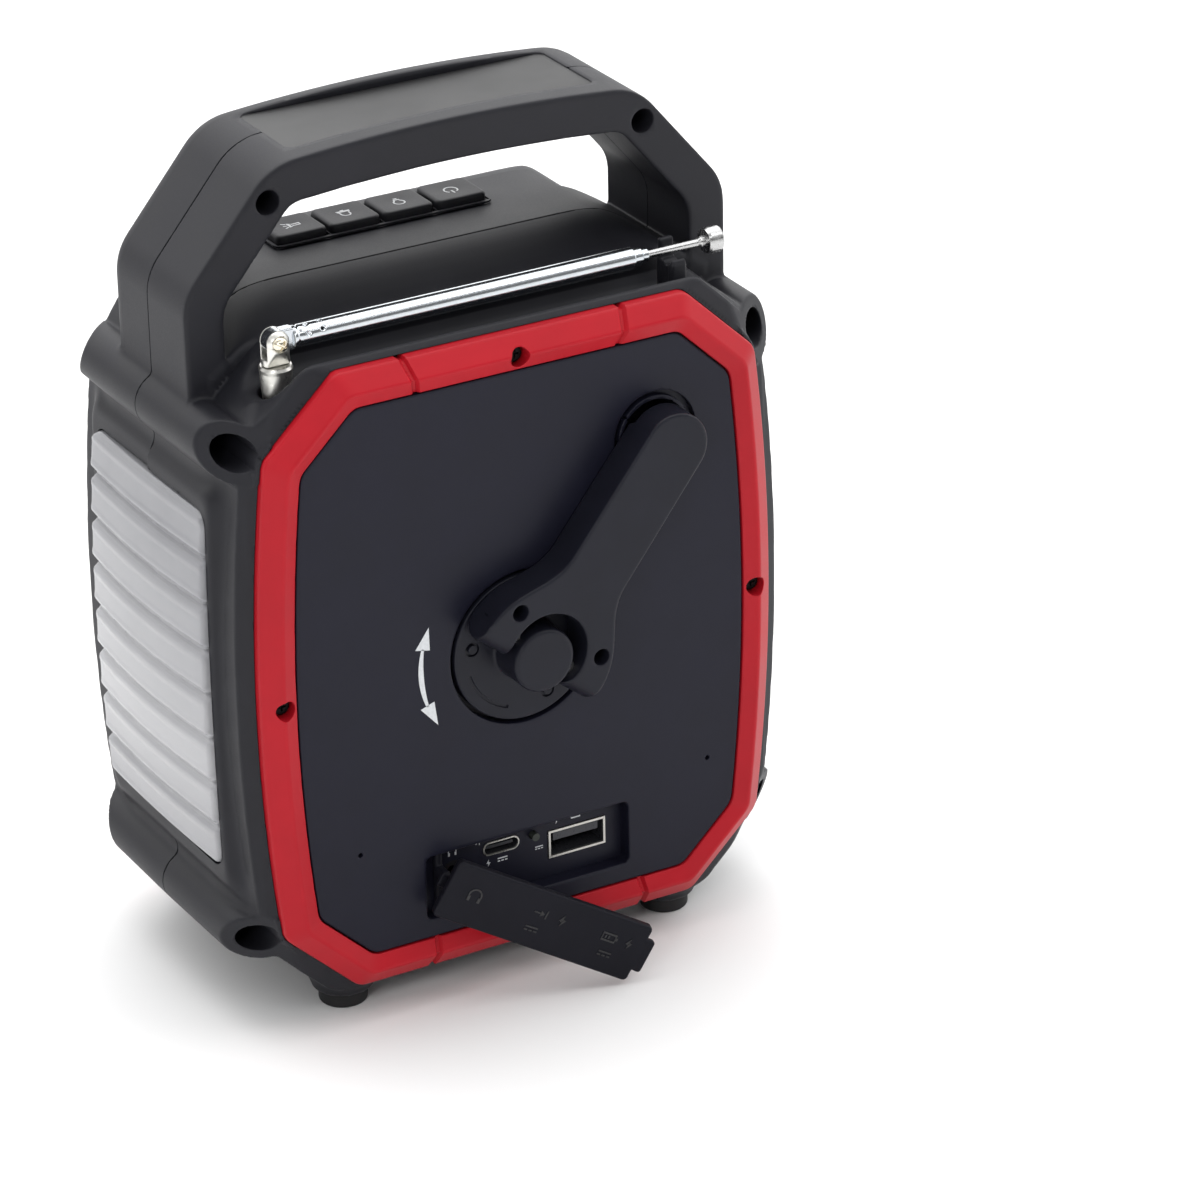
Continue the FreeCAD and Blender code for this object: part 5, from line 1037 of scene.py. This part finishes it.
def icon(kind, s):
    """Generic line symbols in a box of half size s."""
    w = s * 0.17
    out = []
    if kind == "power":
        out.append(ribbon(circle(0, 0, s * 0.72, 24, 125, 415), w))
        out.append(ribbon([(0, s * 0.15), (0, s * 0.98)], w))
    elif kind == "bulb":
        out.append(ribbon(circle(0, s * 0.25, s * 0.58, 24, -55, 235), w))
        out.append(ribbon([(-s * 0.33, -s * 0.22), (-s * 0.28, -s * 0.5), (s * 0.28, -s * 0.5), (s * 0.33, -s * 0.22)], w))
        out.append(ribbon([(-s * 0.2, -s * 0.78), (s * 0.2, -s * 0.78)], w))
    elif kind == "bell":
        out.append(ribbon([(-s * 0.75, -s * 0.5), (-s * 0.5, -s * 0.2), (-s * 0.5, s * 0.3), (-s * 0.25, s * 0.65), (s * 0.25, s * 0.65), (s * 0.5, s * 0.3), (s * 0.5, -s * 0.2), (s * 0.75, -s * 0.5)], w, True))
        out.append(ribbon([(-s * 0.18, -s * 0.8), (s * 0.18, -s * 0.8)], w))
    elif kind == "torch":
        out.append(ribbon([(-s * 0.9, s * 0.2), (-s * 0.1, s * 0.2), (s * 0.25, s * 0.5), (s * 0.25, -s * 0.5), (-s * 0.1, -s * 0.2), (-s * 0.9, -s * 0.2)], w, True))
        for b in (0.5, 0.0, -0.5):
            out.append(ribbon([(s * 0.5, s * b * 0.8), (s * 0.95, s * b * 1.35)], w))
    elif kind == "phones":
        out.append(ribbon(circle(0, 0, s * 0.72, 26, -20, 200), w))
        for q in (-1, 1):
            out.append(ribbon([(q * s * 0.62, -s * 0.75), (q * s * 0.62, -s * 0.15)], w * 1.9))
    elif kind == "battery":
        out.append(ribbon([(-s * 0.9, s * 0.42), (s * 0.7, s * 0.42), (s * 0.7, -s * 0.42), (-s * 0.9, -s * 0.42)], w, True))
        out.append(ribbon([(s * 0.88, -s * 0.18), (s * 0.88, s * 0.18)], w * 1.2))
        out.append(ribbon([(-s * 0.5, -s * 0.2), (-s * 0.5, s * 0.2)], w))
        out.append(ribbon([(-s * 0.12, -s * 0.2), (-s * 0.12, s * 0.2)], w))
    elif kind == "bolt":
        out.append(fan([(s * 0.15, s * 0.95), (-s * 0.55, -s * 0.12), (-s * 0.05, -s * 0.08)]))
        out.append(fan([(-s * 0.15, -s * 0.95), (s * 0.55, s * 0.12), (s * 0.05, s * 0.08)]))
        out.append(fan([(-s * 0.3, -s * 0.1), (s * 0.3, s * 0.1), (s * 0.12, s * 0.3), (-s * 0.12, -s * 0.3)]))
    elif kind == "into":
        out.append(ribbon([(-s * 0.9, 0), (s * 0.15, 0)], w))
        out.append(fan([(s * 0.55, 0), (s * 0.0, s * 0.42), (s * 0.0, -s * 0.42)]))
        out.append(ribbon([(s * 0.85, -s * 0.6), (s * 0.85, s * 0.6)], w))
    elif kind == "dc":
        out.append(ribbon([(-s * 0.8, s * 0.22), (s * 0.8, s * 0.22)], w))
        for q in (-0.6, 0.0, 0.6):
            out.append(ribbon([(s * (q - 0.2), -s * 0.22), (s * (q + 0.2), -s * 0.22)], w))
    return out


def moved(shapes, dx, dy, turn=0.0):
    c, s_ = math.cos(math.radians(turn)), math.sin(math.radians(turn))
    return [(np.asarray(P) @ np.array([[c, s_], [-s_, c]]) + [dx, dy], F) for P, F in shapes]


def build_arrow():
    """The double-headed turning arrow printed beside the hub."""
    R = 25.1
    a0, a1 = -30.0, 22.5
    arc = circle(0, 0, R, 30, a0 + 11, a1 - 10)
    # the printed line swells in the middle
    n = len(arc)
    P, F = [], []
    for i, p in enumerate(arc):
        t = i / (n - 1)
        w = 0.62 + 0.62 * math.sin(math.pi * t)
        d = p / np.linalg.norm(p)
        P += [p - d * w / 2, p + d * w / 2]
    for i in range(n - 1):
        F.append([2 * i, 2 * i + 1, 2 * i + 3, 2 * i + 2])
    shapes = [(np.array(P), F)]
    for tip, back in ((a1 + 1.5, a1 - 10.5), (a0 - 1.5, a0 + 11.5)):
        t = math.radians(tip)
        b = math.radians(back)
        shapes.append(fan([(R * math.cos(t), R * math.sin(t)), ((R - 1.75) * math.cos(b), (R - 1.75) * math.sin(b)), ((R + 1.75) * math.cos(b), (R + 1.75) * math.sin(b))]))
    ob = solid_print("turning_arrow_print", shapes, lambda a, b, h: np.stack([a, 2.6 + h, b], 1), 0.03)
    finish_piece(ob, "case", MAT["print"])


def build_port_marks():
    shapes = []
    # seen from the rear, +x is to the left, so symbols are mirrored in x
    for kind, x, z, s in (("battery", -13.6, -45.9, 1.35), ("bolt", -8.6, -45.9, 1.0), ("into", 11.4, -46.0, 1.05), ("dc", 4.9, -51.6, 1.5), ("bolt", 8.4, -51.7, 0.9), ("phones", 17.2, -46.4, 1.3), ("dc", -4.2, -51.4, 1.2)):
        for P, F in icon(kind, s):
            P = np.asarray(P) * [-1, 1]
            shapes.append((P + [x, z], [list(reversed(f)) for f in F]))
    ob = solid_print("port_symbols_print", shapes, lambda a, b, h: np.stack([a, -0.9 + h, b], 1), 0.03)
    finish_piece(ob, "case", MAT["print"])


# port cover and tether ------------------------------------------------------------------------------------------------------------------------------------------------

SW, DR = math.radians(15.0), math.radians(28.6)
PIVOT = np.array([22.6, 6.3, -49.6])
E1 = np.array([-math.cos(DR) * math.cos(SW), math.cos(DR) * math.sin(SW), -math.sin(DR)])
EN = np.array([math.sin(SW), math.cos(SW), 0.0])
E3 = -np.cross(E1, EN)


def cover_field(a, n, c):
    plan = rbox2(a, c, 23.7, 0.0, 24.3, 6.95, 1.1)
    S = smax(plan, n - 2.2, 0.7)
    S = smax(S, -n, 0.4)
    plug = smax(smax(rbox2(a, c, 24.3, 0.0, 20.3, 5.75, 1.5), -1.2 - n, 0.5), n - 0.6, 0.4)
    # the plug's middle is hollowed, as a moulded cap is
    plug = np.maximum(plug, -np.maximum(rbox2(a, c, 24.3, 0.0, 19.1, 4.55, 1.2), n + 0.35))
    S = smin(S, plug, 0.4)
    lip = smax(rbox2(a, c, 48.9, 0.0, 1.1, 4.0, 0.8), np.maximum(n - 2.2, 0.7 - n), 0.4)
    S = smin(S, lip, 0.4)
    S = np.maximum(S, -np.maximum(disc(a, c, 1.9, 0.0, 1.5), n - 0.6))
    S = np.maximum(S, -np.maximum(np.maximum(slab(a, -3.0, 1.9), slab(c, -1.8, 1.8)), n - 0.6))
    return S


def tether_row_field(x, y, z):
    dx, dy, dz = x - PIVOT[0], y - PIVOT[1], z - PIVOT[2]
    a, n, c = (dx * e[0] + dy * e[1] + dz * e[2] for e in (E1, EN, E3))
    root = smax(disc(x, y, 21.5, 0.45, 0.95), slab(z, -59.0, -44.5), 0.4)
    strap = rbox(x, y, z, 20.75, 22.25, 0.2, 4.75, -51.6, -47.6, 0.4)
    S = smin(root, strap, 0.6)
    button = np.maximum(disc(a, c, 1.9, 0.0, 1.2), slab(n, -1.6, 0.3))
    head = rbox(a, n, c, -1.3, 3.1, -2.6, -1.4, -1.6, 1.6, 0.4)
    return smin(smin(S, button, 0.2), head, 0.4)


def build_cover():
    ax_ = (tuple(E1), tuple(EN), tuple(E3))
    ob = contour("port_cover_flap", cover_field, axis((-1.4, 50.7, 0.45)), axis((-1.65, 2.75, 0.36)), axis((-7.7, 7.8, 0.4)), ax_, PIVOT)
    finish_piece(ob, "cover", MAT["rubber"], "port_cover")
    te = contour("cover_tether_strap", tether_row_field, axis((17.9, 24.9, 0.28)), axis((-0.95, 8.2, 0.28)), axis((-59.5, -53.4, 0.5), (-53.4, -45.0, 0.25), (-45.0, -44.0, 0.25)))
    finish_piece(te, "tether", MAT["rubber"], "cover_tether")

    def place(a, b, h):
        return PIVOT + np.outer(a, E1) + np.outer(2.2 + h, EN) + np.outer(b, E3)

    shapes = []
    for kind, a, c, s in (("phones", 6.2, 0.6, 2.0), ("into", 22.0, 1.7, 1.7), ("bolt", 27.4, 1.7, 1.5), ("dc", 21.6, -2.4, 1.9), ("battery", 39.4, 1.6, 2.0), ("bolt", 44.2, 1.6, 1.4), ("dc", 40.0, -2.4, 1.9)):
        shapes += moved(icon(kind, s), a, c)
    marks = solid_print("cover_moulded_marks", shapes, place, 0.16)
    finish_piece(marks, "cover", MAT["moulded_mark"])


# keys ------------------------------------------------------------------------------------------------------------------------------------------------------------------------


def build_keys():
    names = (("key_power", "power_key", "power"), ("key_lantern", "lantern_key", "bulb"), ("key_siren", "siren_key", "bell"), ("key_torch", "torch_key", "torch"))
    for cx, (node, body, mark) in zip(KEY_X, names):
        def f(x, y, z, cx=cx):
            dish = 0.28 * np.exp(-(((x - cx) / 3.8) ** 2 + ((y + 58.2) / 3.4) ** 2))
            cap = smax(rbox2(x, y, cx, -58.2, 6.05, 5.6, 1.6), z - 80.4 + dish, 0.9)
            cap = np.maximum(cap, 73.9 - z)
            stem = np.maximum(disc(x, y, cx, -58.2, 1.6), slab(z, 72.6, 74.5))
            return np.minimum(cap, stem)

        ob = contour(node + "_cap", f, axis((cx - 6.9, cx + 6.9, 0.42)), axis((-64.5, -51.9, 0.42)), axis((72.1, 77.5, 0.8), (77.5, 80.95, 0.38)))
        finish_piece(ob, body, MAT["key"], node)

        def place(a, b, h, cx=cx):
            x, y = cx - a, -58.2 - b
            # the symbols are read from the crank side with their tops away from the reader, as on the printed keys
            dish = 0.28 * np.exp(-(((x - cx) / 3.8) ** 2 + ((y + 58.2) / 3.4) ** 2))
            return np.stack([x, y, 80.4 - dish + h], 1)

        shapes = []
        for P, F in icon(mark, 2.1):
            P = np.asarray(P) * [-1, -1]
            shapes.append((P, F))
        mk = solid_print(node + "_symbol", shapes, place, 0.03)
        finish_piece(mk, body, MAT["dim_print"])


# antenna details ---------------------------------------------------------------------------------------------------------------------------------------------------------------

AX, AY, AZ = 49.4, -10.4, 76.8


def knuckle_field(x, y, z):
    r = disc(x, y, AX, AY, 0.0)
    body = np.maximum(r - 3.0, z - AZ)
    body = smax(body, 71.75 - z, 0.3)
    dome = np.sqrt((x - AX) ** 2 + ((y - AY) * 0.93) ** 2 + (z - AZ) ** 2) - 3.0
    S = np.minimum(body, dome)
    pin = np.maximum(r - 1.2, slab(z, 69.85, 73.0))
    S = np.minimum(S, pin)
    S = smax(S, -np.maximum(np.abs(y - AY) - 1.45, 73.2 - z), 0.3)
    # flats where the screw sits
    S = smax(S, (y - AY) - 2.75 + np.clip(75.0 - z, 0, 3) * 0.4, 0.3)
    S = np.maximum(S, -disc(x, z, AX, AZ, 0.95) + 0 * y)
    S = np.maximum(S, -np.maximum(disc(x, z, AX, AZ, 1.85), AY + 2.45 - y))
    return S


def screw_field(x, y, z):
    r = disc(x, z, AX, AZ, 0.0)
    S = np.maximum(r - 0.95, slab(y, AY - 2.6, AY + 3.0))
    head = smax(np.sqrt(r ** 2 + ((y - AY - 1.9) * 0.95) ** 2) - 1.95, r - 1.72, 0.2)
    head = np.maximum(head, AY + 2.5 - y)
    S = np.minimum(S, head)
    c, s_ = math.cos(math.radians(30)), math.sin(math.radians(30))
    p, q = (x - AX) * c + (z - AZ) * s_, -(x - AX) * s_ + (z - AZ) * c
    cross = np.minimum(np.maximum(np.abs(p) - 0.22, np.abs(q) - 1.15), np.maximum(np.abs(q) - 0.22, np.abs(p) - 1.15))
    return np.maximum(S, -np.maximum(cross, AY + 3.1 - y))


def tube_one_field(x, y, z):
    r = disc(y, z, AY, AZ, 0.0)
    t = AX - 3.6 - x  # along the tube
    rim = np.where(t > 79.4, 2.4 + 0.0 * t, 2.4 + 0 * t)
    S = smax(r - rim, t - 80.9, 0.35)
    # the neck where the tube is drawn in
    S = smax(S, -t, 0.6)
    S = np.maximum(S, -np.maximum(r - 2.01, 6.0 - t))
    tongue = smax(np.maximum(np.abs(y - AY) - 1.3, np.sqrt((x - AX) ** 2 + (z - AZ) ** 2) - 2.6), 0 * y - 99, 0.1)
    bar = smax(smax(np.abs(y - AY) - 1.3, np.abs(z - AZ) - 2.35, 0.3), slab(x, AX - 3.9, AX), 0.1)
    S = np.minimum(S, np.minimum(tongue, bar))
    # crimp dimples in two rows, and the pinched band
    for k, tt in enumerate((3.2, 6.6)):
        for ang in (20.0, 75.0, 130.0):
            a = math.radians(ang + 12 * k)
            S = smax(S, -(np.sqrt((t - tt) ** 2 + (y - AY - 2.62 * math.cos(a)) ** 2 + (z - AZ - 2.62 * math.sin(a)) ** 2) - 0.62), 0.2)
    S = smax(S, -(np.sqrt((r - 2.75) ** 2 + (t - 1.3) ** 2) - 0.5), 0.2)
    S = np.maximum(S, -disc(x, z, AX, AZ, 1.01) + 0 * y)
    return S


def build_antenna():
    ob = contour("antenna_clip_posts", clip_field, axis((-47.5, -43.0, 0.3)), axis((-14.7, -7.3, 0.3)), axis((63.4, 65.0, 0.5), (65.0, 79.0, 0.35)))
    finish_piece(ob, "case", MAT["shell"], "antenna_clip")
    ob = contour("antenna_knuckle_fork", knuckle_field, axis((AX - 3.6, AX + 3.6, 0.24)), axis((AY - 3.6, AY + 3.6, 0.24)), axis((69.4, 80.4, 0.28)))
    finish_piece(ob, "antenna_base", MAT["satin_chrome"], "antenna_knuckle")
    ob = contour("antenna_screw_cross", screw_field, axis((AX - 2.2, AX + 2.2, 0.13)), axis((AY - 3.0, AY + 2.3, 0.45), (AY + 2.3, AY + 4.0, 0.13)), axis((AZ - 2.2, AZ + 2.2, 0.13)))
    finish_piece(ob, "antenna_base", MAT["screw_brass"], "antenna_screw")
    ob = contour("antenna_tube_one_crimped", tube_one_field, axis((AX - 86.0, AX - 83.0, 0.3), (AX - 83.0, AX - 14.0, 1.5), (AX - 14.0, AX + 3.2, 0.24)), axis((AY - 3.0, AY + 3.0, 0.25)), axis((AZ - 3.1, AZ + 3.1, 0.25)))
    finish_piece(ob, "antenna_one", MAT["chrome"], "antenna_tube_1")


# feet ------------------------------------------------------------------------------------------------------------------------------------------------------------------------------


def clip_field(x, y, z):
    S = rbox(x, y, z, -47.0, -43.6, -14.2, -7.9, 63.85, 74.0, 0.4)
    S = smin(S, rbox(x, y, z, -47.0, -43.6, -14.2, -12.9, 66.0, 78.4, 0.5), 0.8)
    S = smin(S, rbox(x, y, z, -47.0, -43.6, -9.3, -7.9, 66.0, 74.9, 0.5), 0.8)
    # the seat is hollowed to the rod
    return smax(S, -(np.sqrt((y - AY) ** 2 + (z - 75.2) ** 2) - 1.7), 0.5)


def build_feet():
    for i, (fx, fy) in enumerate(((40.5, -9.5), (-40.5, -9.5), (40.5, -67.5), (-40.5, -67.5))):
        def f(x, y, z, fx=fx, fy=fy):
            r = disc(x, y, fx, fy, 0.0)
            S = smax(r - 5.4, -79.5 - z, 0.9)
            S = smax(S, z + 74.5, 0.3)
            return smax(S, -(np.sqrt((r - 3.6) ** 2 + (z + 79.7) ** 2) - 0.5), 0.2)

        ob = contour("rubber_foot_%d" % (i + 1), f, axis((fx - 6.0, fx + 6.0, 0.4)), axis((fy - 6.0, fy + 6.0, 0.4)), axis((-80.1, -74.0, 0.4)))
        finish_piece(ob, "case", MAT["foot"], "rubber_feet")


# carried-over pieces -----------------------------------------------------------------------------------------------------------------------------------------------------------------

LOOKS = {
    "crank_grip": "grip", "crank_hinge_pin": "steel", "grip_spindle": "steel", "crank_shaft": "steel", "crank_bush": "brass",
    "drive_gear": "nylon", "idler_gear": "nylon", "gearbox_plate": "plate", "generator_motor": "motor", "motor_pinion": "brass",
    "antenna_socket": "satin_chrome", "antenna_tube_2": "chrome", "antenna_tube_3": "chrome", "antenna_tip": "tip_chrome",
    "port_board": "pcb_dark", "usb_c_port": "port", "usb_a_port": "port", "headphone_jack": "jack",
    "key_frame": "shell", "key_board": "board", "display_window": "clear", "display_module": "pcb_dark",
    "speaker_grille": "grille", "speaker_frame": "motor", "speaker_cone": "cone", "tuning_knob": "knob", "volume_knob": "knob",
    "main_board": "board", "torch_lens": "torch_clear", "torch_reflector": "reflector", "torch_led_board": "white_board",
    "battery_cells": "cell_wrap", "battery_holder": "holder", "ferrite_rod": "ferrite", "lantern_boards": "white_board",
    "solar_window": "solar_cover", "solar_cell": "solar_cell", "case_screws": "black_steel_and_hole_shade", "bezel_screws": "black_steel_and_hole_shade",
}


def dress_cad():
    for name, key in LOOKS.items():
        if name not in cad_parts:
            print("no node", name)
            continue
        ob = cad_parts[name]
        ob.data.materials.clear()
        ob.data.materials.append(MAT[key])


# stage, light, camera ---------------------------------------------------------------------------------------------------------------------------------------------------------------------


def stage_material():
    m = Nodes("pale_sweep")
    n = m.noise(3.0, 3.0)
    m.set(color=m.mix(m.ramp(n, 0.3, 0.7, 0, 1), (0.83, 0.83, 0.83), (0.845, 0.845, 0.845)), rough=0.85, spec=0.1)
    return m.mat


def build_stage():
    rings = [(0.0, 0.0)] + [(r, 0.0) for r in (0.3, 0.8, 1.6, 2.4)] + [(2.4 + 0.8 * math.sin(a), 0.8 - 0.8 * math.cos(a)) for a in np.linspace(0.15, 1.2, 8)]
    n = 72
    verts, faces = [], []
    for r, h in rings:
        if r == 0:
            verts.append((0, 0, 0))
            continue
        for i in range(n):
            a = 2 * math.pi * i / n
            verts.append((r * math.cos(a), r * math.sin(a), h))
    for i in range(n):
        faces.append((0, 1 + i, 1 + (i + 1) % n))
    for k in range(len(rings) - 2):
        b0, b1 = 1 + k * n, 1 + (k + 1) * n
        for i in range(n):
            j = (i + 1) % n
            faces.append((b0 + i, b1 + i, b1 + j, b0 + j))
    me = bpy.data.meshes.new("sweep")
    me.from_pydata(verts, [], faces)
    me.polygons.foreach_set("use_smooth", np.full(len(me.polygons), True))
    ob = bpy.data.objects.new("sweep", me)
    bpy.context.scene.collection.objects.link(ob)
    ob.data.materials.append(stage_material())


def area(name, at, target, size, power, size_y=None, color=(1, 1, 1)):
    li = bpy.data.lights.new(name, "AREA")
    li.energy = power
    li.shape = "RECTANGLE"
    li.size = size
    li.size_y = size_y or size
    li.color = color
    ob = bpy.data.objects.new(name, li)
    ob.location = at
    ob.rotation_euler = (Vector(target) - Vector(at)).to_track_quat("-Z", "Y").to_euler()
    bpy.context.scene.collection.objects.link(ob)
    return ob


def build_light():
    world = bpy.data.worlds.new("studio")
    bpy.context.scene.world = world
    world.use_nodes = True
    nt = world.node_tree
    bg = nt.nodes["Background"]
    bg.inputs[0].default_value = (1.0, 1.0, 1.0, 1.0)
    # a room that is bright above and behind the radio and dimmer on the crank side
    co = nt.nodes.new("ShaderNodeTexCoord")
    dot = nt.nodes.new("ShaderNodeVectorMath")
    dot.operation = "DOT_PRODUCT"
    way = Vector((-0.42, -0.76, 0.50)).normalized()
    dot.inputs[1].default_value = way
    nt.links.new(co.outputs["Generated"], dot.inputs[0])
    ramp = nt.nodes.new("ShaderNodeMapRange")
    ramp.interpolation_type = "SMOOTHSTEP"
    nt.links.new(dot.outputs["Value"], ramp.inputs[0])
    ramp.inputs[1].default_value, ramp.inputs[2].default_value = -0.30, 0.92
    ramp.inputs[3].default_value, ramp.inputs[4].default_value = 0.22, 2.3
    nt.links.new(ramp.outputs[0], bg.inputs[1])
    area("overhead", (0.0, -0.5, 1.9), (0, 0, 0.05), 1.5, 14)
    area("left_soft", (1.6, 0.5, 1.1), (0, 0, 0.1), 0.8, 1.2)
    area("rear_strip", (0.15, 1.3, 1.35), (0, 0, 0.1), 1.9, 5, size_y=0.3)
    area("right_soft", (-1.6, 0.9, 0.8), (0, 0, 0.1), 0.8, 2.4)
    area("edge_right", (-0.7, 0.7, 1.3), (0, 0, 0.1), 0.35, 1.3)
    area("edge_left", (1.07, 0.97, 0.77), (0, 0, 0.08), 0.24, 3.0)
    scene = bpy.context.scene
    scene.view_settings.view_transform = "Standard"
    scene.view_settings.look = "None"
    scene.view_settings.exposure = 0.0
    scene.view_settings.gamma = 1.0


def build_camera():
    R = np.array([[-0.86533454, 0.50093777, -0.01604619], [0.22882161, 0.36638355, -0.901889], [-0.4459112, -0.78410742, -0.43166973]])
    C = np.array([488.72543214, 894.68120353, 497.20423733])
    cam = bpy.data.cameras.new("camera")
    cam.sensor_width = 36.0
    cam.sensor_fit = "HORIZONTAL"
    cam.lens = 5321.36482269 * 36.0 / 1200.0
    cam.clip_start, cam.clip_end = 0.05, 20.0
    ob = bpy.data.objects.new("camera", cam)
    bpy.context.scene.collection.objects.link(ob)
    M = Matrix.Identity(4)
    right, up, back = Vector(R[0]), -Vector(R[1]), -Vector(R[2])
    for k in range(3):
        M[k][0], M[k][1], M[k][2] = right[k], up[k], back[k]
    loc = to_row(C)
    M[0][3], M[1][3], M[2][3] = loc
    ob.matrix_world = M
    bpy.context.scene.camera = ob


build_camera()
build_stage()
build_light()
dress_cad()
build_shells()
build_bezels()
build_panels()
build_crank()
build_lenses()
build_cover()
build_keys()
build_antenna()
build_feet()
build_arrow()
build_port_marks()
